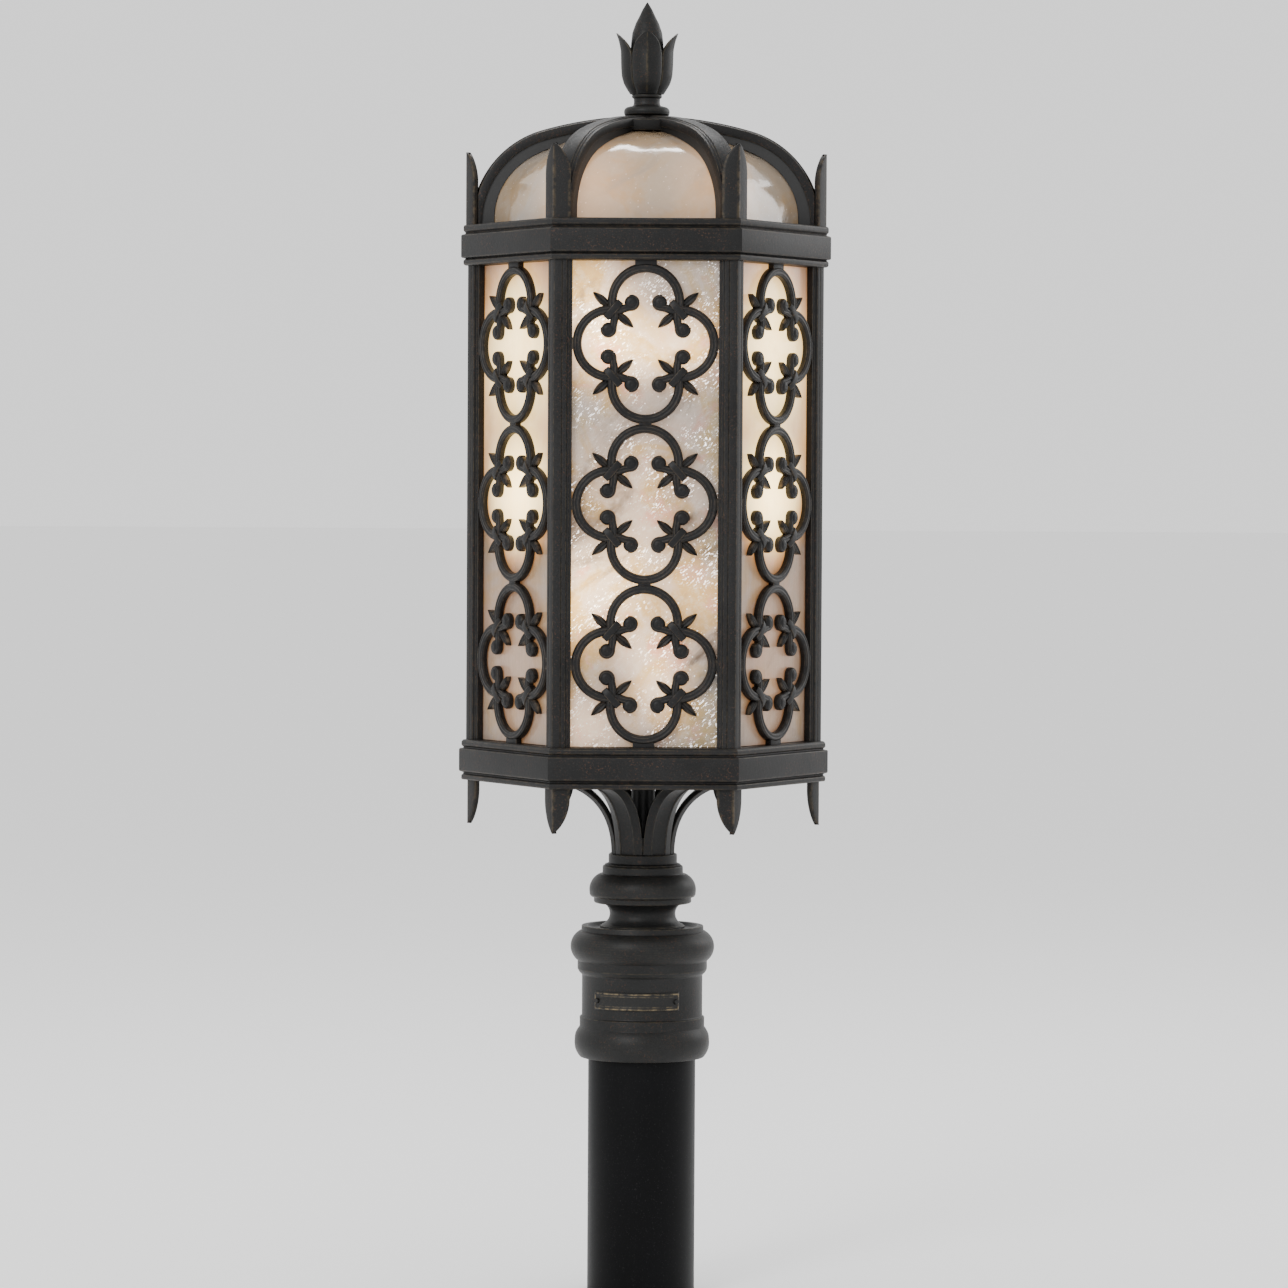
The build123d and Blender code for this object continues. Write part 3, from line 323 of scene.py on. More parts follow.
def casting_group():
    """Powder finish on cast metal: clouds of tone, brown and pale flecks, rubbed edges that also stand for a
    painted edge highlight, fine orange peel.
    """
    takes = [("Tone", "Color", (0.02, 0.02, 0.02, 1)), ("Fleck", "Color", (0.08, 0.04, 0.03, 1)),
             ("RubbedAndHighlight", "Color", (0.1, 0.08, 0.05, 1)), ("Flecks", "Float", 0.5), ("RubAndHighlight", "Float", 0.6)]
    tree, take, give = new_group("casting_finish", takes,
                                 [("Color", "Color"), ("Roughness", "Float"), ("Height", "Float")])
    where = place(tree)
    cloud = noise(tree, where, 22, 3)
    grain = noise(tree, where, 1500, 3, 0.6)
    brown = above(tree, noise(tree, where, 760, 2, 0.6), 0.57, 0.68)
    patch = above(tree, noise(tree, where, 60, 3), 0.36, 0.60)
    pale = above(tree, noise(tree, where, 1150, 1, 0.5), 0.66, 0.74)
    dark = put(tree, "HueSaturation", {"Value": 0.62, "Color": take["Tone"]}).outputs[0]
    tone = mix(tree, above(tree, cloud, 0.35, 0.65), dark, take["Tone"])
    speckle = {"Value": grain, "From Min": 0.3, "From Max": 0.7, "To Min": 0.5, "To Max": 1.6}
    fine = put(tree, "MapRange", speckle).outputs[0]
    tone = put(tree, "HueSaturation", {"Value": fine, "Color": tone}).outputs[0]
    fleck_amount = calc(tree, "MULTIPLY", calc(tree, "MULTIPLY", brown, patch), take["Flecks"])
    tone = mix(tree, fleck_amount, tone, take["Fleck"])
    tone = mix(tree, calc(tree, "MULTIPLY", pale, 0.30), tone, (0.045, 0.045, 0.045, 1))
    # convex edges take the rubbed colour: part edge wear, part painted edge highlight
    worn_and_highlit = put(tree, "Attribute", attribute_name="worn_and_highlit").outputs["Fac"]
    patchy = above(tree, noise(tree, where, 210, 3, 0.65), 0.36, 0.66)
    rubbed_and_highlit = calc(tree, "MULTIPLY", calc(tree, "MULTIPLY", worn_and_highlit, patchy), take["RubAndHighlight"])
    tree.links.new(mix(tree, rubbed_and_highlit, tone, take["RubbedAndHighlight"]), give["Color"])
    matt = calc(tree, "MULTIPLY_ADD", grain, 0.30, 0.30)
    tree.links.new(calc(tree, "MULTIPLY_ADD", rubbed_and_highlit, -0.12, matt), give["Roughness"])
    peel = noise(tree, where, 420, 2, 0.5)
    tree.links.new(calc(tree, "MULTIPLY_ADD", peel, 0.6, calc(tree, "MULTIPLY", grain, 0.4)), give["Height"])
    return tree


def shaded(name, **constants):
    """A material with one Principled shader and its own constants set on the shader."""
    material = bpy.data.materials.new(name)
    material.use_nodes = True
    shader = material.node_tree.nodes["Principled BSDF"]
    for key, value in constants.items():
        shader.inputs[key.replace("_", " ")].default_value = value
    return material, material.node_tree, shader


def roughened(tree, shader, height, depth):
    """Feed a bump of this depth in millimetres to the shader."""
    bump = put(tree, "Bump", {"Height": height, "Distance": depth * MM, "Strength": 1.0})
    tree.links.new(bump.outputs[0], shader.inputs["Normal"])


casting = casting_group()


def cast_metal(name, tone, fleck, rubbed_and_highlit, flecks, rub_and_highlight, peel, **constants):
    """A cast piece in the powder finish."""
    material, tree, shader = shaded(name, **constants)
    node = put(tree, "Group", node_tree=casting)
    given = {"Tone": tone, "Fleck": fleck, "RubbedAndHighlight": rubbed_and_highlit, "Flecks": flecks, "RubAndHighlight": rub_and_highlight}
    for key, value in given.items():
        node.inputs[key].default_value = value
    tree.links.new(node.outputs["Color"], shader.inputs["Base Color"])
    tree.links.new(node.outputs["Roughness"], shader.inputs["Roughness"])
    roughened(tree, shader, node.outputs["Height"], peel)
    return material


sheen = {"Specular_IOR_Level": 0.20}
bronze = cast_metal("dark_bronze", (0.0100, 0.0100, 0.0100, 1), (0.048, 0.024, 0.015, 1),
                    (0.085, 0.062, 0.034, 1), 0.85, 0.85, 0.16, **sheen)
# the grilles' rubbed colour is made paler to stand for painted highlights on the bars' edges
grille_bronze = cast_metal("grille_bronze", (0.0050, 0.0050, 0.0052, 1), (0.036, 0.017, 0.010, 1),
                           (0.105, 0.078, 0.052, 1), 0.55, 1.0, 0.12, Specular_IOR_Level=0.24)
turned_bronze = cast_metal("turned_bronze", (0.0105, 0.0108, 0.0106, 1), (0.042, 0.022, 0.014, 1),
                           (0.075, 0.058, 0.032, 1), 0.7, 0.85, 0.12, **sheen)
post_black = cast_metal("post_black", (0.0014, 0.0015, 0.0020, 1), (0.002, 0.002, 0.0028, 1),
                        (0.004, 0.004, 0.005, 1), 0.3, 0.0, 0.02, Specular_IOR_Level=0.10)
plate_bronze = cast_metal("nameplate_bronze", (0.0055, 0.0055, 0.0052, 1), (0.03, 0.022, 0.014, 1),
                          (0.20, 0.15, 0.080, 1), 0.5, 1.0, 0.08, Specular_IOR_Level=0.30)
steel_black = cast_metal("blackened_steel", (0.018, 0.018, 0.018, 1), (0.04, 0.03, 0.025, 1),
                         (0.1, 0.09, 0.08, 1), 0.4, 0.5, 0.05, Metallic=0.6)
plated = cast_metal("zinc_plate", (0.42, 0.42, 0.40, 1), (0.34, 0.33, 0.30, 1), (0.5, 0.5, 0.48, 1),
                    0.4, 0.3, 0.05, Metallic=0.9)
holder_black = cast_metal("phenolic_black", (0.012, 0.012, 0.012, 1), (0.02, 0.02, 0.02, 1),
                          (0.03, 0.03, 0.03, 1), 0.2, 0.2, 0.03)
ivory = cast_metal("ivory_sleeve", (0.72, 0.66, 0.50, 1), (0.66, 0.58, 0.42, 1), (0.76, 0.70, 0.55, 1),
                   0.3, 0.2, 0.04)
cap_brass = cast_metal("cap_brass", (0.62, 0.45, 0.20, 1), (0.5, 0.36, 0.16, 1), (0.7, 0.52, 0.26, 1),
                       0.3, 0.2, 0.03, Metallic=1.0)
seal_black = cast_metal("seal_black", (0.008, 0.008, 0.008, 1), (0.012, 0.012, 0.012, 1),
                        (0.02, 0.02, 0.02, 1), 0.2, 0.2, 0.06)


def lamp_glow(tree, where, spots):
    """Painted glow of the lamps inside: the sum of soft spots, each 1 at its centre and 0 at its reach."""
    total = None
    for centre, reach, weight in spots:
        gap = put(tree, "VectorMath", {0: where, 1: [c * MM for c in centre]}, operation="DISTANCE")
        spot = calc(tree, "MULTIPLY", above(tree, gap.outputs["Value"], reach * MM, 0.0), weight)
        total = spot if total is None else calc(tree, "ADD", total, spot)
    return total


def glass_group():
    """Seeded opal glass: drifting pearl, gold, umber and rose veils, a hammered face with a painted
    highlight of white glints in short slanted dashes, upright brushing, and round seeds. Its third output is
    where the painted glints and the seeds are pale, for their painted glow."""
    takes = [("Pearl", "Color", (0.6, 0.55, 0.5, 1)), ("Gold", "Color", (0.5, 0.4, 0.22, 1)),
             ("Umber", "Color", (0.25, 0.2, 0.15, 1)), ("Rose", "Color", (0.5, 0.36, 0.30, 1)),
             ("PaintedGlint", "Float", 0.5), ("Seeds", "Float", 0.5), ("Curd", "Float", 0.5),
             ("Brush", "Float", 0.5)]
    tree, take, give = new_group("seeded_glass", takes,
                                 [("Color", "Color"), ("Height", "Float"), ("GlintAndSeedGlow", "Float")])
    where = place(tree)
    slant = place(tree, (1.0, 1.0, 2.6), (0, radians(48), 0))
    upright = place(tree, (1.0, 1.0, 26.0))
    cloud = noise(tree, where, 19, 5, 0.6, 0.9)
    veil = noise(tree, slant, 34, 4, 0.58, 0.9)
    colour = mix(tree, above(tree, cloud, 0.44, 0.60), take["Pearl"], take["Gold"])
    colour = mix(tree, above(tree, veil, 0.50, 0.74), colour, take["Umber"])
    colour = mix(tree, above(tree, noise(tree, where, 31, 4, 0.55, 0.7), 0.55, 0.68), colour, take["Rose"])
    curd = noise(tree, where, 150, 4, 0.7)
    curdled = calc(tree, "MULTIPLY", above(tree, curd, 0.45, 0.8), take["Curd"])
    colour = mix(tree, curdled, colour, (0.50, 0.47, 0.44, 1))
    strokes = {"Value": noise(tree, upright, 900, 2, 0.6), "To Min": 0.72, "To Max": 1.25}
    brushed = put(tree, "MapRange", strokes).outputs[0]
    toned = put(tree, "HueSaturation", {"Value": brushed, "Color": colour}).outputs[0]
    colour = mix(tree, take["Brush"], colour, toned)
    # painted highlight: white glints in short slanted dashes, mixed into the colour and given out as glow
    dashes = noise(tree, slant, 950, 2, 0.6, 0.5)
    spread = above(tree, noise(tree, where, 30, 3, 0.5), 0.44, 0.66)
    painted_glint = calc(tree, "MULTIPLY", above(tree, dashes, 0.60, 0.655), spread)
    painted_glint = calc(tree, "MULTIPLY", painted_glint, take["PaintedGlint"])
    cells = put(tree, "TexVoronoi", {"Vector": where, "Scale": 300.0}).outputs["Distance"]
    some = above(tree, noise(tree, where, 420, 0), 0.50, 0.58)
    seed = calc(tree, "MULTIPLY", some, take["Seeds"])
    seed = calc(tree, "MULTIPLY", above(tree, cells, 0.20, 0.10), seed)
    # pale joins the painted glints and the seeds
    pale = calc(tree, "MAXIMUM", painted_glint, seed)
    tree.links.new(mix(tree, pale, colour, (0.95, 0.93, 0.92, 1)), give["Color"])
    hammered = noise(tree, slant, 330, 3, 0.6, 0.6)
    height = calc(tree, "MULTIPLY_ADD", hammered, 0.7, calc(tree, "MULTIPLY", dashes, 0.3))
    tree.links.new(calc(tree, "MULTIPLY_ADD", seed, 0.25, height), give["Height"])
    tree.links.new(pale, give["GlintAndSeedGlow"])
    return tree


seeded = glass_group()


def opal(name, tones, amounts, spots, edge, core, clear, gain, glint_glow, ripple, **constants):
    """Opal glass with a painted glow of the lamps inside, drawn as its own spots, edge-coloured where dim
    and core-coloured where bright. amounts are its painted glints, seeds, curd and brushing; clear is how
    little the veils tint its painted glow."""
    material, tree, shader = shaded(name, **constants)
    node = put(tree, "Group", node_tree=seeded)
    for key, value in zip(("Pearl", "Gold", "Umber", "Rose"), tones):
        node.inputs[key].default_value = value
    for key, value in zip(("PaintedGlint", "Seeds", "Curd", "Brush"), amounts):
        node.inputs[key].default_value = value
    tree.links.new(node.outputs["Color"], shader.inputs["Base Color"])
    lit = lamp_glow(tree, place(tree), spots)
    warm = mix(tree, above(tree, lit, 0.15, 1.1), edge, core)
    veiled = put(tree, "VectorMath", {0: node.outputs["Color"]}, operation="SCALE")
    veiled.inputs["Scale"].default_value = 2.8
    tinted = put(tree, "VectorMath", {0: warm, 1: veiled.outputs[0]}, operation="MULTIPLY")
    tint = mix(tree, clear, tinted.outputs[0], warm)
    glow = put(tree, "VectorMath", {0: tint}, operation="SCALE")
    tree.links.new(calc(tree, "MULTIPLY", lit, gain), glow.inputs["Scale"])
    # the painted glints and the seeds given out as white light
    glint_light = put(tree, "VectorMath", {0: (1.0, 0.97, 0.95)}, operation="SCALE")
    tree.links.new(calc(tree, "MULTIPLY", node.outputs["GlintAndSeedGlow"], glint_glow), glint_light.inputs["Scale"])
    both = put(tree, "VectorMath", {0: glow.outputs[0], 1: glint_light.outputs[0]}, operation="ADD")
    tree.links.new(both.outputs[0], shader.inputs["Emission Color"])
    shader.inputs["Emission Strength"].default_value = 1.0
    roughened(tree, shader, node.outputs["Height"], ripple)
    return material


lamp_z = (low("bulb_glass_1")[2] + high("bulb_glass_1")[2]) / 2 + 12
upper_z = lamp_z + 106
# painted glow of the lamps on the panes: strongest at the lamps' level and above them, faint near the sill
side_glow_spots = []
for face in FACES:
    x, y = glass_front * cos(face), glass_front * sin(face)
    side_glow_spots += [((x, y, lamp_z), 60, 2.3), ((x, y, lamp_z + 50), 110, 0.60)]
    side_glow_spots += [((x, y, upper_z), 75, 1.5), ((x, y, head - 10), 80, 0.30)]
    side_glow_spots += [((x, y, lamp_z - 75), 90, 0.12), ((x, y, sill + 30), 80, 0.12)]
# painted glow spots of the front pane: how far along it, level, reach and strength
front_glow_marks = [(-24, upper_z - 2, 50, 1.3), (26, upper_z - 4, 42, 0.9), (0, upper_z + 4, 85, 0.25),
               (-8, lamp_z + 2, 74, 0.5), (-46, lamp_z - 70, 62, 1.3), (46, lamp_z - 72, 50, 0.5),
               (0, sill + 118, 56, 0.6), (6, sill + 62, 44, 0.8), (14, sill + 30, 34, 0.6),
               (-40, sill + 16, 50, 0.5), (-42, head - 22, 52, 0.8)]
front_glow_spots = [((x, -glass_front, z), reach, weight) for x, z, reach, weight in front_glow_marks]
# the front pane and the side panes are one glass, drawn as lit copies: the front one with paler tones and
# painted glints, the side ones darker with a stronger painted glow
front_lit_tones = [(0.40, 0.330, 0.275, 1), (0.37, 0.255, 0.105, 1), (0.100, 0.068, 0.042, 1),
               (0.42, 0.24, 0.18, 1)]
front_lit_glass = opal("seeded_glass_front_lit", front_lit_tones, (1.0, 0.3, 0.6, 0.1), front_glow_spots,
                  (0.62, 0.43, 0.27, 1), (1.0, 0.80, 0.52, 1), 0.0, 2.0, 2.6, 0.9,
                  Roughness=0.14, Coat_Weight=0.5, Coat_Roughness=0.05)
backlit_side_tones = [(0.26, 0.215, 0.175, 1), (0.27, 0.195, 0.115, 1), (0.19, 0.150, 0.115, 1),
              (0.28, 0.21, 0.165, 1)]
backlit_side_glass = opal("seeded_glass_side_backlit", backlit_side_tones, (0.0, 0.05, 0.15, 0.8), side_glow_spots,
                  (0.80, 0.36, 0.12, 1), (1.0, 0.76, 0.34, 1), 0.55, 2.5, 0.6, 0.22,
                  Roughness=0.28, Coat_Weight=0.25, Coat_Roughness=0.15)
# painted glow on the front of the dome
dome_glow_spots = [((-42, -72, roof + 20), 62, 0.8), ((46, -70, roof + 22), 58, 0.75),
              ((0, -84, roof + 4), 90, 0.2)]
dome_tones = [(0.32, 0.255, 0.190, 1), (0.33, 0.225, 0.125, 1), (0.26, 0.205, 0.155, 1),
              (0.33, 0.25, 0.175, 1)]
glass_dome = opal("seeded_glass_dome", dome_tones, (0.0, 0.22, 0.12, 0.0), dome_glow_spots,
                  (0.50, 0.31, 0.16, 1), (0.95, 0.55, 0.26, 1), 0.40, 1.3, 0.25, 0.14,
                  Roughness=0.12, Coat_Weight=0.7, Coat_Roughness=0.05)

lamp_clear, lamp_tree, lamp_shader = shaded("lamp_glass", Roughness=0.05, Alpha=0.5)
lamp_mist = noise(lamp_tree, place(lamp_tree), 60)
lamp_tint = mix(lamp_tree, lamp_mist, (0.95, 0.9, 0.8, 1), (1, 0.98, 0.94, 1))
lamp_tree.links.new(lamp_tint, lamp_shader.inputs["Base Color"])

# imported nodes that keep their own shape
kept = {
    "stem": steel_black, "stem_locknuts": steel_black, "centre_rod": steel_black, "arm_screws": steel_black,
    "stile_screws": steel_black, "clip_screws": steel_black, "rod_coupling": plated, "glass_clips": plated,
    "lamp_bracket": plated, "nameplate_screws": plate_bronze, "bottom_pan": bronze, "dome_seals": seal_black,
}
kept.update({f"set_screw_{i}": steel_black for i in (1, 2, 3)})
kept.update({f"lampholder_{i}": holder_black for i in (1, 2, 3)})
kept.update({f"candle_sleeve_{i}": ivory for i in (1, 2, 3)})
kept.update({f"bulb_cap_{i}": cap_brass for i in (1, 2, 3)})
kept.update({f"bulb_glass_{i}": lamp_clear for i in (1, 2, 3)})
for node, material in kept.items():
    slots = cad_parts[node].data.materials
    slots.clear()
    slots.append(material)


# ==== post, fitter and neck =======================================================================
def roll(r_low, z_low, r_out, r_high, z_high, steps=9):
    """A half-round roll between two levels."""
    return arc_points((r_low, z_low), (r_out, (z_low + z_high) / 2), (r_high, z_high), steps).tolist()


post_wall = 3.2
post_in = post_r - post_wall
outline, worn_and_highlit = rounded([(post_r, 0), (post_r, post_top), (post_in, post_top), (post_in, 0)], 0.4)
piece("post", joined([turned(outline, worn_and_highlit, 160)]), post_black, "post", ["post_tube"])

roll_top = fitter_low + 21.5
barrel_low, barrel_high = roll_top + 7, roll_top + 37
screw_z = fitter_low + 10.75
fitter_r = high("post_fitter")[0]
fitter_bore = post_r + 0.3
barrel_r = 42.8
stem_bore, cap_hole, ledge_r = 8.4, 8.5, 36.1
cap_top, cap_low = fitter_top - 2.5, fitter_top - 7.5


def screw_recesses(r, turn, z):
    """Sink a round pocket over each set screw: depth 2.6 smoothed by 1 - s^2(3 - 2s)."""
    for screw in np.radians((0.0, 90.0, 180.0)):
        away = np.angle(np.exp(1j * (turn - screw))) * r
        s = np.clip((np.hypot(away, z - screw_z) - 4.2) / 1.4, 0, 1)
        r = r - np.where(r > fitter_bore + 3, 2.6 * (1 - s * s * (3 - 2 * s)), 0)
    return r


lower_roll = arc_points((44.0, fitter_low), (48.2, screw_z), (44.3, roll_top), 30).tolist()
upper_low, upper_high = barrel_high + 10, barrel_high + 31
fitter_line = [(fitter_bore, fitter_low)] + lower_roll
fitter_line += [(44.3, barrel_low), (43.5, barrel_low + 0.4), (barrel_r, barrel_low + 1.2),
                (barrel_r, barrel_high), (44.6, barrel_high + 1.6), (46.0, barrel_high + 4),
                (46.0, upper_low)]
fitter_line += roll(46.4, upper_low + 0.3, fitter_r, 44.4, upper_high, 15)
fitter_line += [(43.4, upper_high + 0.1), (43.2, fitter_top), (39.2, fitter_top), (36.7, cap_top),
                (cap_hole, cap_top), (cap_hole, cap_low), (ledge_r, cap_low), (ledge_r, post_top),
                (fitter_bore, post_top)]
outline, worn_and_highlit = rounded(fitter_line, 0.6)
fitter_shell = joined([turned(outline, worn_and_highlit, 360, screw_recesses)])
piece("fitter", fitter_shell, turned_bronze, "fitter", ["post_fitter"])

swell = neck_low + 22.7
ring_low = neck_top - 6
neck_line = [(stem_bore, neck_low), (30, neck_low), (30, neck_low + 2.2), (29, neck_low + 2.6)]
neck_line += arc_points((28.8, neck_low + 3.0), (23.3, neck_low + 11.2), (28.2, swell - 4.6), 16).tolist()
neck_line += [(33.9, swell - 4.3), (34.6, swell - 3.6), (34.6, swell - 0.3), (36.6, swell),
              (37.6, swell + 1.4)]
neck_line += arc_points((37.8, swell + 3.5), (36.6, swell + 10.5), (30.5, ring_low), 14).tolist()
neck_line += [(29.0, ring_low), (28.6, ring_low + 0.9), (28.5, neck_top - 0.8), (27.8, neck_top),
              (stem_bore, neck_top)]
outline, worn_and_highlit = rounded(neck_line, 0.6)
neck_shell = joined([turned(outline, worn_and_highlit, 160)])
piece("neck_turning", neck_shell, turned_bronze, "head", ["neck"])

collar_line = [(stem_bore, neck_top), (27.0, neck_top), (27.0, neck_top + 0.8), (24.3, neck_top + 1.8),
               (24.3, arm_low - 0.8), (23.6, arm_low), (stem_bore, arm_low)]
outline, worn_and_highlit = rounded(collar_line, 0.5)
collar_shell = joined([turned(outline, worn_and_highlit, 128)])
piece("collar", collar_shell, turned_bronze, "head", ["arm_collar"])

# nameplate: a strip bent round the barrel, with a raised edge
plate_z = (low("nameplate")[2] + high("nameplate")[2]) / 2
plate_turn = radians(270 - 6.7)
plate_half, plate_high = 33.0, 6.6
u = np.linspace(-1, 1, 97)
v = np.linspace(-1, 1, 41)
along, up = u[:, None] * plate_half, v[None, :] * plate_high
edge = np.minimum(plate_half - np.abs(along), plate_high - np.abs(up))
raised = np.exp(-(((edge - 1.3) / 0.42) ** 2))
ends = np.abs(along) < plate_half - 5.0
inner = np.exp(-(((plate_high - np.abs(up) - 3.0) / 0.28) ** 2)) * ends
lift = 0.75 + 0.4 * raised + 0.16 * inner - 0.5 * np.clip(1 - edge / 0.5, 0, 1)
turn = plate_turn + along / barrel_r


def on_barrel(radius):
    """Bend the plate's grid round the barrel at this radius."""
    wide = np.broadcast_to(radius, lift.shape)
    level = np.broadcast_to(plate_z + up, lift.shape)
    return np.stack([wide * np.cos(turn), wide * np.sin(turn), level], -1)


edges = np.clip(raised + 0.5 * inner, 0, 1)
plate = closed_slab(on_barrel(barrel_r + lift), on_barrel(barrel_r - 0.2), edges)
piece("blank_nameplate", joined([plate]), plate_bronze, "fitter", ["nameplate"])

# ==== support arms ================================================================================
arm_reach, arm_t = 50.0, 5.0
arm_axis = high("support_arms")[0]
root = arm_axis - arm_reach
half = [(arm_t, 9.7), (2.5, 11.05), (0.3, 6.2), (0.0, 6.0), (0.0, 5.2), (0.7, 4.8)]
section = [(t, s) for t, s in half] + [(t, -s) for t, s in half[::-1]]
outline, worn_and_highlit = rounded([(s, -t) for t, s in section], 0.35)
# each arm follows a Bezier curve that leaves the collar upright and meets the pan level
t = np.linspace(0, 1, 30)[:, None]
stations = np.array([(root, 0), (root, 30), (arm_axis - 33, arm_reach), (arm_axis, arm_reach)])
weights = ((1 - t) ** 3, 3 * t * (1 - t) ** 2, 3 * t**2 * (1 - t), t**3)
curve = sum(weight * station for weight, station in zip(weights, stations))
ahead = np.gradient(curve, axis=0)
ahead /= np.hypot(*ahead.T)[:, None]
level = 0 * curve[:, 0]
path = np.stack([curve[:, 0], level, arm_low + curve[:, 1]], -1)
side = np.stack([level, level + 1, level], -1)
out = np.stack([ahead[:, 1], level, -ahead[:, 0]], -1)
arm = carried(path, side, out, outline, worn_and_highlit)
# a ring behind the arms' roots closes the gaps between them for the first web_rise of their height
web_rise, web_in, web_t = 13.5, 1.6, 2.5
web = curve[curve[:, 1] < web_rise] - [web_in, 0]
web_line = [(r, arm_low + z) for r, z in web]
web_line += [(web[-1, 0] - web_t, arm_low + web[-1, 1]), (root - arm_t, arm_low)]
arm_shells = turned_copies(arm, CORNERS) + [turned(np.array(web_line), np.zeros(len(web_line)), 96)]
piece("arms", joined(arm_shells), turned_bronze, "head", ["support_arms"])


# ==== rails and rim ===============================================================================
open_r, wall_r = 110.8, band_r - 6.5 / COS
lip_r, shadow_r, rim_in = 129.3, 128.2, 102.8
rail_lip = 5.8
band_low = rail_low + 6.1
band_high = sill - 6.5
foot_line = [(wall_r, rail_low), (lip_r - 0.6, rail_low), (lip_r, rail_low + 0.7), (lip_r, rail_low + 3.2),
             (lip_r - 0.8, rail_low + 3.9), (lip_r - 1.6, rail_low + 4.4), (lip_r - 1.2, band_low - 0.9),
             (band_r - 0.5, band_low - 0.1), (band_r, band_low + 0.5), (band_r, band_high - 0.4),
             (band_r - 0.5, band_high + 0.1), (lip_r - 1.4, band_high + 0.6), (lip_r - 1.5, band_high + 1.3),
             (lip_r - 0.4, band_high + 1.9), (lip_r, band_high + 2.8), (lip_r - 0.1, sill - 1.5),
             (lip_r - 1.2, sill - 0.3), (lip_r - 2.2, sill), (open_r, sill), (open_r, sill - rail_lip),
             (wall_r, sill - rail_lip)]
outline, worn_and_highlit = rounded(foot_line, 0.45)
piece("foot_rail", joined([six_sided(outline, worn_and_highlit)]), bronze, "head", ["bottom_rail"])

head_band = head + 5.7
head_line = [(open_r, head), (lip_r - 1.8, head), (lip_r - 0.6, head + 0.5), (lip_r, head + 1.4),
             (lip_r, head + 3.6), (lip_r - 0.8, head + 4.4), (lip_r - 1.5, head + 4.9),
             (lip_r - 1.2, head_band - 0.6), (band_r - 0.5, head_band - 0.1), (band_r, head_band + 0.5),
             (band_r, head_band + 15.6), (band_r - 0.6, head_band + 16.2), (shadow_r, head_top - 0.5),
             (shadow_r - 0.2, head_top), (wall_r, head_top), (wall_r, head + rail_lip),
             (open_r, head + rail_lip)]
outline, worn_and_highlit = rounded(head_line, 0.45)
piece("head_rail", joined([six_sided(outline, worn_and_highlit)]), bronze, "head", ["top_rail"])

spigot_r, spigot_in = wall_r - 0.3 / COS, wall_r - 3.0 / COS
spigot_low = low("roof_rim")[2]
rim_line = [(spigot_in, spigot_low), (spigot_r, spigot_low), (spigot_r, head_top),
            (shadow_r - 0.3, head_top), (shadow_r, head_top + 0.8), (lip_r - 0.5, head_top + 1.2),
            (lip_r, head_top + 2.0), (lip_r, roof - 1.2), (lip_r - 0.5, roof - 0.3), (lip_r - 1.4, roof),
            (rim_in, roof), (rim_in, head_top), (spigot_in, head_top)]
outline, worn_and_highlit = rounded(rim_line, 0.4)
piece("roof_edge", joined([six_sided(outline, worn_and_highlit)]), bronze, "roof", ["roof_rim"])

# ==== stiles ======================================================================================
stile_w, stile_deep = 12.6, 7.0
stile_half = [(0, 0), (5.35, 0), (5.55, 0.42), (5.75, 0.42), (5.95, 0.0), (8.9, 0.3), (9.1, 1.6),
              (10.7, 1.7), (10.8, 2.3), (stile_w, 2.3), (stile_w, stile_deep)]


def corner_point(radius, along, depth):
    """A point in a corner's plan: along a face from the corner and in from that face."""
    return radius - SIN * along - COS * depth, COS * along - SIN * depth


upper = [corner_point(stile_r, a, d) for a, d in stile_half]
stile_plan = upper + [(stile_r - stile_deep / COS, 0.0)] + [(x, -y) for x, y in upper[:0:-1]]
outline, worn_and_highlit = rounded(stile_plan, 0.4)
heights = np.linspace(sill, head, 3)
stile_points = np.stack([np.broadcast_to(outline[None, :, k], (3, len(outline))) for k in (0, 1)]
                        + [np.broadcast_to(heights[:, None], (3, len(outline)))], -1)
stile = grid(stile_points, worn_and_highlit[None, :], ring=True, capped=True)
for number, copy in enumerate(turned_copies(stile, CORNERS), 1):
    piece(f"corner_stile_{number}", joined([copy]), bronze, "head", [f"stile_{number}"])


# ==== blades at the corners =======================================================================
def blade(radius, base, length, straight, width, hang):
    """A pointed blade folded along its middle: at a share v of its length each half is w(v) wide, full
    to the end of the straight and then w = width (1 - x^1.9)^0.72, and its edges are bevelled."""
    v = np.concatenate([np.linspace(0, straight / length, 8)[:-1], 1 - np.linspace(1, 0, 30) ** 1.6
                        * (1 - straight / length)])
    x = np.clip((v * length - straight) / (length - straight), 0, 1)
    wide = width * np.maximum(1 - x**1.9, 0) ** 0.72
    s = np.array([-1, -0.93, -0.8, -0.5, -0.2, -0.03, 0, 0.03, 0.2, 0.5, 0.8, 0.93, 1])
    along = np.abs(s)[None, :] * wide[:, None]
    bevel = np.minimum(0.9, wide)[:, None] * np.clip((np.abs(s)[None, :] - 0.9) / 0.1, 0, 1) * 0.8
    fold = 0.25 * np.exp(-((np.abs(s) / 0.06) ** 2))[None, :]
    z = np.broadcast_to((base + (-1 if hang else 1) * v * length)[:, None], along.shape)

    def layer(depth):
        px, py = corner_point(radius, along, depth)
        return np.stack([px, np.sign(s)[None, :] * np.abs(py) * (along > 1e-6), z], -1)

    front = layer(bevel + fold)
    back = layer(3.4 - bevel * 0.6 + 0 * along)
    rub_and_highlight = np.exp(-(((np.abs(s) - 0.96) / 0.05) ** 2)) + np.exp(-((s / 0.05) ** 2))
    return closed_slab(front, back, np.clip(np.broadcast_to(rub_and_highlight, along.shape), 0, 1))


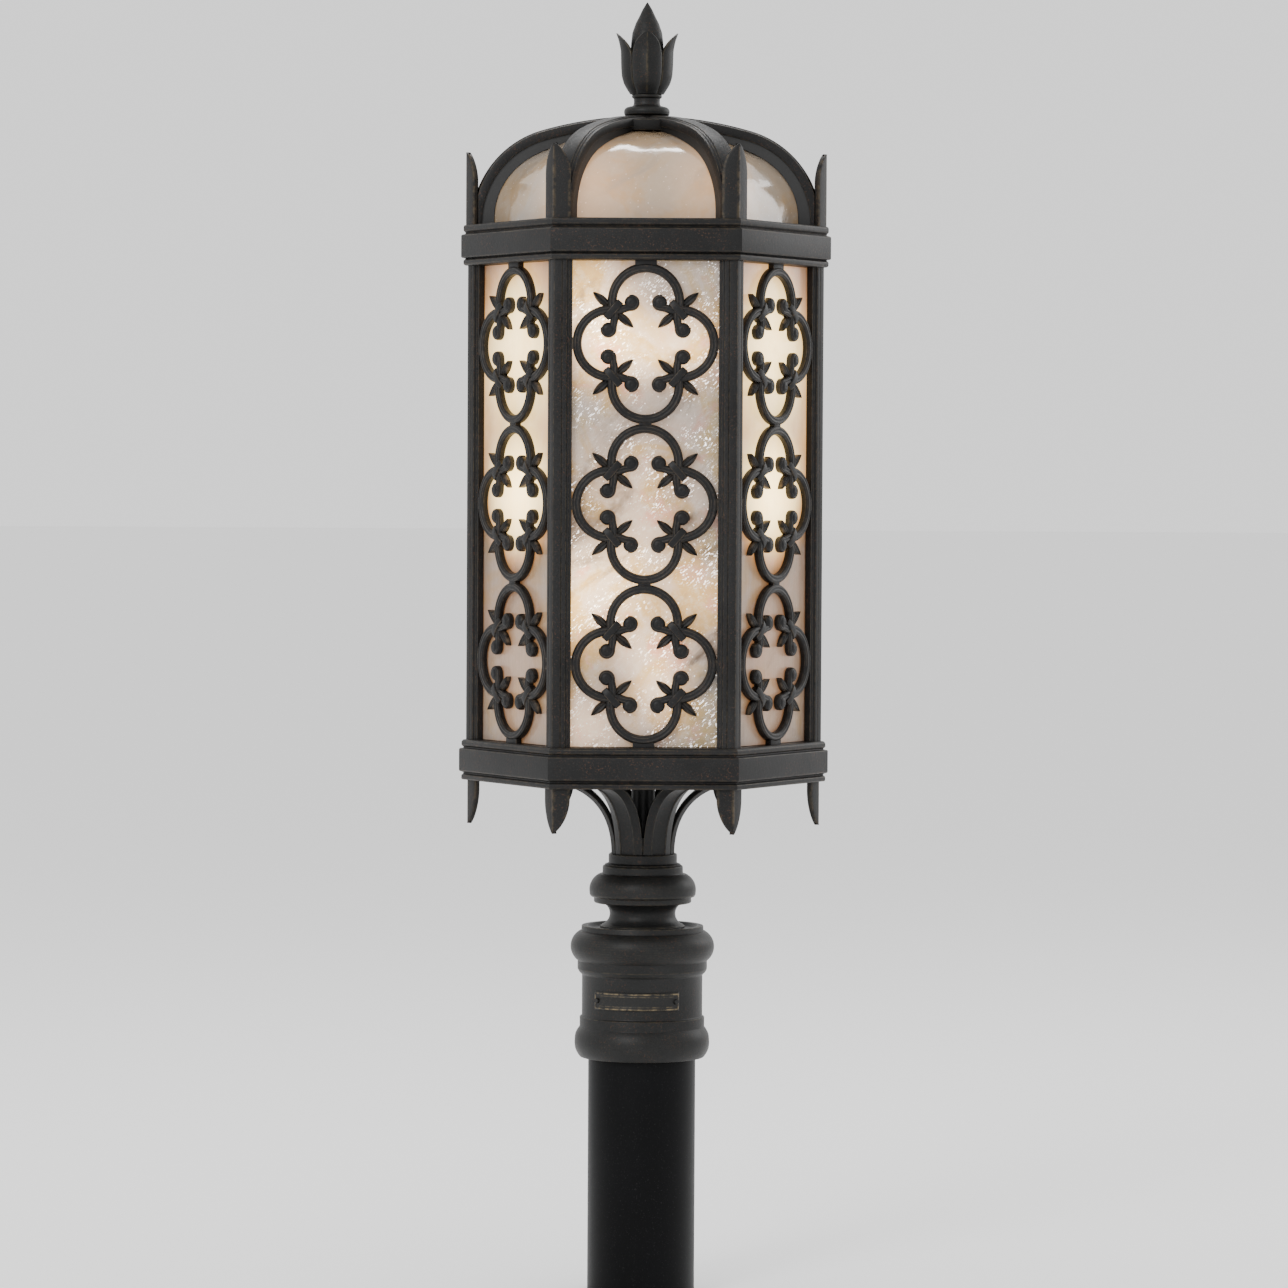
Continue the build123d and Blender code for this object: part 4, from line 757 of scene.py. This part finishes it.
blade_w, spike_straight, pendant_straight = 12, 31, 7
spike = blade(spike_r, roof, spike_top - roof, spike_straight, blade_w, False)
spike_shells = joined(turned_copies(spike, CORNERS))
piece("spikes", spike_shells, bronze, "roof", ["crown_spikes"])
pendant = blade(pendant_r, rail_low, rail_low - pendant_low, pendant_straight, blade_w, True)
pendant_shells = joined(turned_copies(pendant, CORNERS))
piece("corner_pendants", pendant_shells, bronze, "head", ["pendants"])


# ==== roof ========================================================================================
def arch(spring, rise, haunch, straight, inset, end_r, steps):
    """A half arch of three centres from its springing, after a straight upright foot, to end_r from the
    axis: points and normals, all set in by the inset. The crown's radius is
    (c^2 + t^2 - h^2) / (2 (t - h)) for centre distance c, top t over the foot and haunch radius h."""
    c, top = spring - haunch, rise - straight
    crown_r = (c**2 + top**2 - haunch**2) / (2 * (top - haunch))
    sweep = atan2(crown_r - top, c)
    a = np.linspace(0, sweep, steps)
    stop = pi / 2 - np.arcsin(end_r / (crown_r - inset))
    b = np.linspace(sweep, stop, steps)[1:]
    r = np.concatenate([c + (haunch - inset) * np.cos(a), (crown_r - inset) * np.cos(b)])
    haunch_z = straight + (haunch - inset) * np.sin(a)
    z = np.concatenate([haunch_z, rise - crown_r + (crown_r - inset) * np.sin(b)])
    normal = np.concatenate([a, b])
    if straight > 0:
        r, z, normal = np.r_[r[0], r], np.r_[0, z], np.r_[0, normal]
    return r, z + roof, np.cos(normal), np.sin(normal)


rib_arch = (rib_r, 77.3, 68.5, 1.0)
dome_arch = (dome_hip_r * COS, 68.0, 52.0, 5.0)
eye_r = 11.0
r, z, nx, nz = arch(*rib_arch, 0.0, 16.0, 26)
path = np.stack([r, 0 * r, z], -1)
side = np.stack([0 * r, 1 + 0 * r, 0 * r], -1)
out = np.stack([nx, 0 * nx, nz], -1)
rib_section = [(-8.75, -1.5), (-8.75, -7.5), (8.75, -7.5), (8.75, -1.5), (7.0, -1.4), (6.4, -0.75),
               (5.2, -0.7), (4.9, 0), (-4.9, 0), (-5.2, -0.7), (-6.4, -0.75), (-7.0, -1.4)]
outline, worn_and_highlit = rounded(rib_section, 0.4)
points, faces, rub_and_highlight = carried(path, side, out, outline, worn_and_highlit)
behind = spike_r - 3.6 / COS
points[:, 0] = np.minimum(points[:, 0], behind - np.abs(points[:, 1]) * TAN)
ribs = turned_copies((points, faces, rub_and_highlight), CORNERS)
hub_top = low("finial_spear")[2]
# the hub is a shallow bell between the ribs: it follows their arch above and the dome's corners below
hub_t = 2.0
br, bz = arch(*rib_arch, hub_t, 14.0, 40)[:2]
ur, uz = arch(*dome_arch, -0.3, eye_r, 40)[:2]
hub_r = 36
skirt = [(r, z) for r, z in zip(br, bz) if r < hub_r][::6]
under = [(r / COS, z) for r, z in zip(ur, uz) if r / COS < hub_r - 0.5][::-6]
hub_line = [(3.4, roof + 64), (10.4, roof + 64), (10.4, roof + 68.2)] + under + skirt
hub_line += [(14.0, hub_top - 0.4), (12.8, hub_top), (3.4, hub_top)]
outline, worn_and_highlit = rounded(hub_line, 0.5)
ribs.append(turned(outline, worn_and_highlit, 96))
piece("ribs", joined(ribs), bronze, "roof", ["roof_ribs"])


def dome_panel(turn, seed):
    """One bent pane: the arch's profile gives the face's distance a(v), and y = u a(v) tan 30 across it.
    Its outer face ripples, and the ripple fades out at the edges."""
    a, z, nx, nz = arch(*dome_arch, 0.0, eye_r, 34)
    u = np.linspace(-1, 1, 41)
    shape = (len(a), len(u))
    wave = 0.34 * soft_noise(shape, (9, 7), seed) + 0.1 * soft_noise(shape, (22, 17), seed + 1)
    fade = np.clip((1 - np.abs(u)) / 0.08, 0, 1)[None, :]

    def layer(depth):
        out = a[:, None] - nx[:, None] * depth
        half = np.maximum(out - 1.0, 0.5) * TAN
        return np.stack([out, u[None, :] * half, z[:, None] - nz[:, None] * depth], -1)

    pane = closed_slab(layer(0.35 - wave * fade + 0.15 * (1 - fade)), layer(3.0 + 0 * wave))
    return turned_copies(pane, [turn])[0]


domes = [dome_panel(turn, 40 + 3 * k) for k, turn in enumerate(FACES)]
piece("dome_panes", joined(domes), glass_dome, "roof", ["dome_glass"], 50)


# ==== side glass ==================================================================================
def pane(seed, ripple):
    """One flat pane with a softly rippled outer face: lift = ripple (0.6 n1 + 0.4 n2)."""
    u = np.linspace(-glass_half, glass_half, 81)
    v = np.linspace(sill + 0.4, head - 0.4, 241)
    shape = (len(u), len(v))
    wave = ripple * (0.6 * soft_noise(shape, (7, 23), seed) + 0.4 * soft_noise(shape, (17, 55), seed + 1))
    front = np.stack([np.broadcast_to(u[:, None], shape), np.broadcast_to(v[None, :], shape),
                      glass_front - 0.2 + 0.2 * wave], -1)
    back = front.copy()
    back[..., 2] = glass_back
    return closed_slab(front, back)


for number, turn in enumerate(FACES, 1):
    # the pane towards the camera takes the front-lit copy of the glass
    facing = number == 5
    piece(f"pane_{number}", joined([on_face(pane(90 + 7 * number, 1.0 if facing else 0.5), turn)]),
          front_lit_glass if facing else backlit_side_glass, "head", [f"glass_panel_{number}"], 50)


# ==== grilles =====================================================================================
foils = 3
lobe_out, bar_w, ball_r = 26.3, 6.4, 4.8
end_tab, tab_past = 2.0, 1.4
pitch = (head - sill - 2 * end_tab) / foils
lobe_r = lobe_out - bar_w / 2
lobe_up, lobe_side = pitch / 2 - lobe_out, opening_half - 0.1 - lobe_out
between = hypot(lobe_up, lobe_side)
spread = sqrt(lobe_r**2 - between**2 / 4)
knot = np.array([lobe_side / 2 + spread * lobe_up / between, lobe_up / 2 + spread * lobe_side / between])
ball_low, ball_high = knot + [3.4, -13.5], knot + [-12.5, 5.1]
leaf_turn = radians(41)
knot_out = np.array([cos(leaf_turn), sin(leaf_turn)])
bar_face = grille_front - grille_back - 0.35
curl_r = ball_r - 1.45


def scroll_bar(centre, crown_turn, ball, way):
    """Half of a C scroll: round the lobe from its crown to the knot, on along a Bezier curve to the circle
    of curl_r about the scroll's end, and 200 degrees round that, the other way, narrowing as it goes.
    way is 1 for anticlockwise."""
    end_turn = atan2(*(knot - centre)[::-1])
    t = np.linspace(crown_turn, end_turn, 30)
    lobe = centre + lobe_r * np.stack([np.cos(t), np.sin(t)], -1)
    leave = way * np.array([-sin(end_turn), cos(end_turn)])
    enter = np.round(leave)
    ahead = ball - curl_r * way * np.array([enter[1], -enter[0]])
    b = np.linspace(0, 1, 13)[1:, None]
    stations = (knot, knot + 6.5 * leave, ahead - 5.0 * enter, ahead)
    weights = ((1 - b) ** 3, 3 * b * (1 - b) ** 2, 3 * b**2 * (1 - b), b**3)
    bend = sum(weight * station for weight, station in zip(weights, stations))
    start = atan2(*(ahead - ball)[::-1])
    c = start - way * radians(200) * np.linspace(0, 1, 19)[1:]
    curl = ball + curl_r * np.stack([np.cos(c), np.sin(c)], -1)
    wide = np.concatenate([np.ones(27), np.linspace(1.0, 0.95, 6), np.linspace(0.94, 0.80, 9),
                           np.linspace(0.79, 0.64, 18)])
    return np.concatenate([lobe, bend, curl]), wide


bar_section = [(-3.2, 0.0), (3.2, 0.0), (3.2, 3.3), (2.5, 4.7), (1.2, bar_face), (0.35, bar_face - 0.35),
               (-0.35, bar_face - 0.35), (-1.2, bar_face), (-2.5, 4.7), (-3.2, 3.3)]
bar_line, bar_worn_and_highlit = rounded(bar_section, 0.55)
bar_worn_and_highlit = np.where(np.abs(bar_line[:, 0]) > 2.9, bar_worn_and_highlit, 0.6 * bar_worn_and_highlit)


def flat_bar(points, wide, section, worn_and_highlit):
    """Carry a section along a flat path: s lies across the path and t stands out from the glass."""
    path = np.stack([points[:, 0], points[:, 1], np.full(len(points), grille_back)], -1)
    ahead = np.gradient(points, axis=0)
    ahead /= np.hypot(*ahead.T)[:, None]
    side = np.stack([-ahead[:, 1], ahead[:, 0], 0 * ahead[:, 0]], -1)
    out = np.broadcast_to([0.0, 0.0, 1.0], side.shape)
    return carried(path, side, out, section, worn_and_highlit, wide)


def lobe(centre, crown_turn, ball, way):
    """A whole C scroll with both its curls; the second half is the first one mirrored."""
    half, wide = scroll_bar(np.array(centre), crown_turn, ball, way)
    mirror = np.array([-1, 1]) if centre[0] == 0 else np.array([1, -1])
    points = np.concatenate([(half * mirror)[::-1], half[1:]])
    wide = np.concatenate([wide[::-1], wide[1:]])
    shell = flat_bar(points, wide, bar_line, bar_worn_and_highlit)
    drop = np.repeat(1 - 0.30 * (1 - wide), len(bar_line))
    shell[0][:, 2] = grille_back + (shell[0][:, 2] - grille_back) * drop
    return shell


def ball_shell(centre):
    """The scroll's end: a thick disc with a domed face and a rolled edge, square to the glass."""
    line = [(0.0, 0.0), (ball_r - 0.3, 0.0), (ball_r, 0.5), (ball_r, 3.2)]
    line += arc_points((ball_r, 3.2), (ball_r - 0.9, 4.6), (0.01, 5.5), 10)[1:].tolist()
    line = np.array(line)
    points, faces, rub_and_highlight = turned(line, 0.7 * np.exp(-(((line[:, 0] - ball_r) / 0.35) ** 2)), 32)
    return points + np.array([centre[0], centre[1], grille_back]), faces, rub_and_highlight


def leaf_shell(direction):
    """A pointed leaf with a creased middle, 3.0 mm sin(pi x^0.85)^0.75 wide each side of it."""
    x = np.linspace(0.03, 0.995, 22)
    points = knot + direction * (3.0 + 15.6 * x)[:, None]
    wide = np.sin(pi * x**0.85) ** 0.75
    section = np.array([(-3.0, 0), (3.0, 0), (3.0, 2.4), (1.6, 3.9), (0.25, 3.3), (0.0, 3.1), (-0.25, 3.3),
                        (-1.6, 3.9), (-3.0, 2.4)])
    worn_and_highlit = np.array([0, 0, 0.9, 0.1, 0.1, 0, 0.1, 0.1, 0.9])
    return flat_bar(points, wide, section, worn_and_highlit)


def knot_shell():
    """The strap over the crossing: a flat bar square to the leaves."""
    across = np.array([-knot_out[1], knot_out[0]])
    x = np.linspace(-1, 1, 17)
    points = knot + across * (7.7 * x)[:, None]
    strap = [(-2.65, 0), (2.65, 0), (2.65, 5.6), (2.2, 6.2), (-2.2, 6.2), (-2.65, 5.6)]
    section, worn_and_highlit = rounded(strap, 0.45)
    shell = flat_bar(points, 1 - 0.16 * np.abs(x) ** 6, section, worn_and_highlit)
    drop = np.repeat(1 - 0.26 * np.abs(x) ** 3, len(section))
    shell[0][:, 2] = grille_back + (shell[0][:, 2] - grille_back) * drop
    return shell


def flipped(shell, sx, sy):
    """A shell mirrored in the foil's middle lines."""
    points, faces, rub_and_highlight = shell
    return points * np.array([sx, sy, 1.0]), faces, rub_and_highlight


def block(u0, u1, v0, v1, depth):
    """A tab between a scroll and the frame, with softened edges."""
    section, worn_and_highlit = rounded([(u0, 0), (u1, 0), (u1, depth), (u0, depth)], 0.5)
    z = np.linspace(v0, v1, 2)
    points = np.stack([np.broadcast_to(section[None, :, 0], (2, len(section))),
                       np.broadcast_to(z[:, None], (2, len(section))),
                       np.broadcast_to(section[None, :, 1] + grille_back, (2, len(section)))], -1)
    return grid(points, worn_and_highlit[None, :], ring=True, capped=True)


foil = [lobe((0, lobe_up), pi / 2, ball_low, -1), lobe((lobe_side, 0), 0.0, ball_high, 1)]
foil = foil + [flipped(foil[0], 1, -1), flipped(foil[1], -1, 1)]
quarter = [ball_shell(ball_low), ball_shell(ball_high), leaf_shell(knot_out), leaf_shell(-knot_out),
           knot_shell()]
for sx in (1, -1):
    for sy in (1, -1):
        foil += [flipped(shell, sx, sy) for shell in quarter]
side_tab, tab_deep = opening_half - 1.2, 4.6
foil += [block(side_tab, opening_half, -4, 4, tab_deep), block(-opening_half, -side_tab, -4, 4, tab_deep)]
foil = joined(foil)
grille_shells = []
for k in range(foils):
    middle = sill + end_tab + pitch * (k + 0.5)
    grille_shells.append((foil[0] + [0, middle, 0], foil[1], foil[2]))
    join = middle + pitch / 2
    grille_shells.append(block(-4.5, 4.5, join - tab_past, join + tab_past, 4.4))
grille_shells[-1] = block(-7.5, 7.5, head - end_tab - tab_past, head, tab_deep)
grille_shells.append(block(-7.5, 7.5, sill, sill + end_tab + tab_past, tab_deep))
grille = joined(grille_shells)
for number, turn in enumerate(FACES, 1):
    piece(f"scroll_grille_{number}", on_face(grille, turn), grille_bronze, "head", [f"grille_{number}"],
          38)


# ==== finial ======================================================================================
def petal(turn):
    """One calyx petal: its ridge follows r(v); across it, at a share u of its half turn A(v), the
    radius falls straight to the crease, and A = 44.2 degrees (1 - x^1.8)^0.85 closes over x near the tip."""
    v = np.linspace(0, 1, 46)
    height = calyx_top - calyx_low
    knots_z = np.array([0, 0.035, 0.17, 0.29, 0.45, 0.72, 0.87, 1.0])
    knots_r = np.array([11.6, 13.0, 16.4, 17.9, 18.4, 18.7, 20.0, calyx_r])
    ridge = np.interp(v, knots_z, knots_r)
    ridge = np.convolve(np.pad(ridge, 2, "edge"), [0.1, 0.2, 0.4, 0.2, 0.1], "valid")
    ridge[-1] = calyx_r
    close = np.clip((v - 0.58) / 0.42, 0, 1)
    half_turn = radians(44.2) * np.maximum(1 - close**1.8, 0.0) ** 0.85
    u = np.linspace(-1, 1, 25)
    off = half_turn[:, None] * u[None, :]
    fall = 0.16 * np.abs(off) / radians(45) + 0.02 * (np.abs(u)[None, :] > 0.95)
    z = np.broadcast_to((calyx_low + v * height)[:, None], off.shape)

    def layer(thick):
        r = (ridge[:, None] * (1 - fall) - thick) * (1 + 0 * off)
        return np.stack([r * np.cos(turn + off), r * np.sin(turn + off), z], -1)

    rub_and_highlight = np.clip(np.exp(-((u / 0.05) ** 2)) + np.exp(-(((np.abs(u) - 1) / 0.04) ** 2)), 0, 1)
    thin = (0.5 + 1.7 * (1 - close))[:, None]
    return closed_slab(layer(0.0), layer(thin), np.broadcast_to(rub_and_highlight, off.shape) * 0.8)


piece("calyx", joined([petal(pi / 2 * k) for k in range(4)]), turned_bronze, "finial", ["finial_calyx"],
      28)

disc = low("finial_spear")[2]
spear = [(3.1, disc), (15.2, disc), (15.9, disc + 0.8)]
spear += arc_points((16.0, disc + 1.6), (15.7, disc + 4.6), (13.4, disc + 6.2), 8).tolist()
spear += [(10.4, disc + 6.9), (9.5, disc + 7.6), (9.2, disc + 9.2), (9.3, disc + 12.0), (9.9, disc + 12.4),
          (10.6, disc + 12.9), (10.7, calyx_low - 0.9), (10.0, calyx_low - 0.1), (10.0, calyx_low + 3),
          (11.6, calyx_low + 15), (11.8, calyx_low + 26)]
spear += [(11.4, calyx_low + 36), (10.55, calyx_low + 43.5), (9.5, calyx_low + 46.2),
          (8.2, calyx_low + 50.1), (6.1, calyx_low + 54), (3.6, calyx_low + 59.4), (1.2, tip - 1.6),
          (0.3, tip - 0.25), (0.01, tip), (0.01, calyx_low + 9), (3.1, calyx_low + 9)]
outline, worn_and_highlit = rounded(spear, 1.2, 4)
piece("spear", joined([turned(outline, worn_and_highlit * 0.5, 96)]), turned_bronze, "finial", ["finial_spear"],
      40)

# ==== floor, light and camera =====================================================================
floor_mesh = bpy.data.meshes.new("floor")
reach = 60.0
floor_mesh.from_pydata([(-reach, -reach, 0), (reach, -reach, 0), (reach, reach, 0), (-reach, reach, 0)], [],
                       [(0, 1, 2, 3)])
floor_material, _, floor_shader = shaded("pale_floor", Roughness=0.9)
floor_shader.inputs["Base Color"].default_value = (0.92, 0.92, 0.92, 1)
floor_mesh.materials.append(floor_material)
floor = bpy.data.objects.new("floor", floor_mesh)
bpy.context.scene.collection.objects.link(floor)

world = bpy.data.worlds.new("studio")
bpy.context.scene.world = world
world.use_nodes = True
world.node_tree.nodes["Background"].inputs["Color"].default_value = (1.0, 1.0, 1.0, 1)
world.node_tree.nodes["Background"].inputs["Strength"].default_value = 1.28


def softbox(name, place_at, aim, size, power):
    """A soft white oblong light that looks at a point."""
    light = bpy.data.lights.new(name, "AREA")
    light.shape, light.size, light.size_y = "RECTANGLE", size[0], size[1]
    light.energy = power
    lamp = bpy.data.objects.new(name, light)
    bpy.context.scene.collection.objects.link(lamp)
    lamp.location = place_at
    lamp.rotation_euler = (Vector(aim) - Vector(place_at)).to_track_quat("-Z", "Y").to_euler()


softbox("key", (-1.5, -2.6, 2.0), (0, 0, 0.6), (0.9, 1.2), 45)
softbox("right_sheen", (2.4, 1.4, 1.45), (0, 0, 0.70), (1.5, 1.3), 18)
softbox("dome_strip", (0.0, 0.95, 2.45), (0, 0, 0.8), (1.5, 0.42), 26)

# the camera stands 3.56 m off the post's axis, a little over half way up, looking slightly down
camera_data = bpy.data.cameras.new("camera")
camera_data.lens = 140.4
camera_data.sensor_width = 36.0
camera = bpy.data.objects.new("camera", camera_data)
bpy.context.scene.collection.objects.link(camera)
camera.location = (-0.0006, -3.56, 0.575)
camera.rotation_euler = (radians(90 - 1.825), radians(-0.31), 0.0)
bpy.context.scene.camera = camera
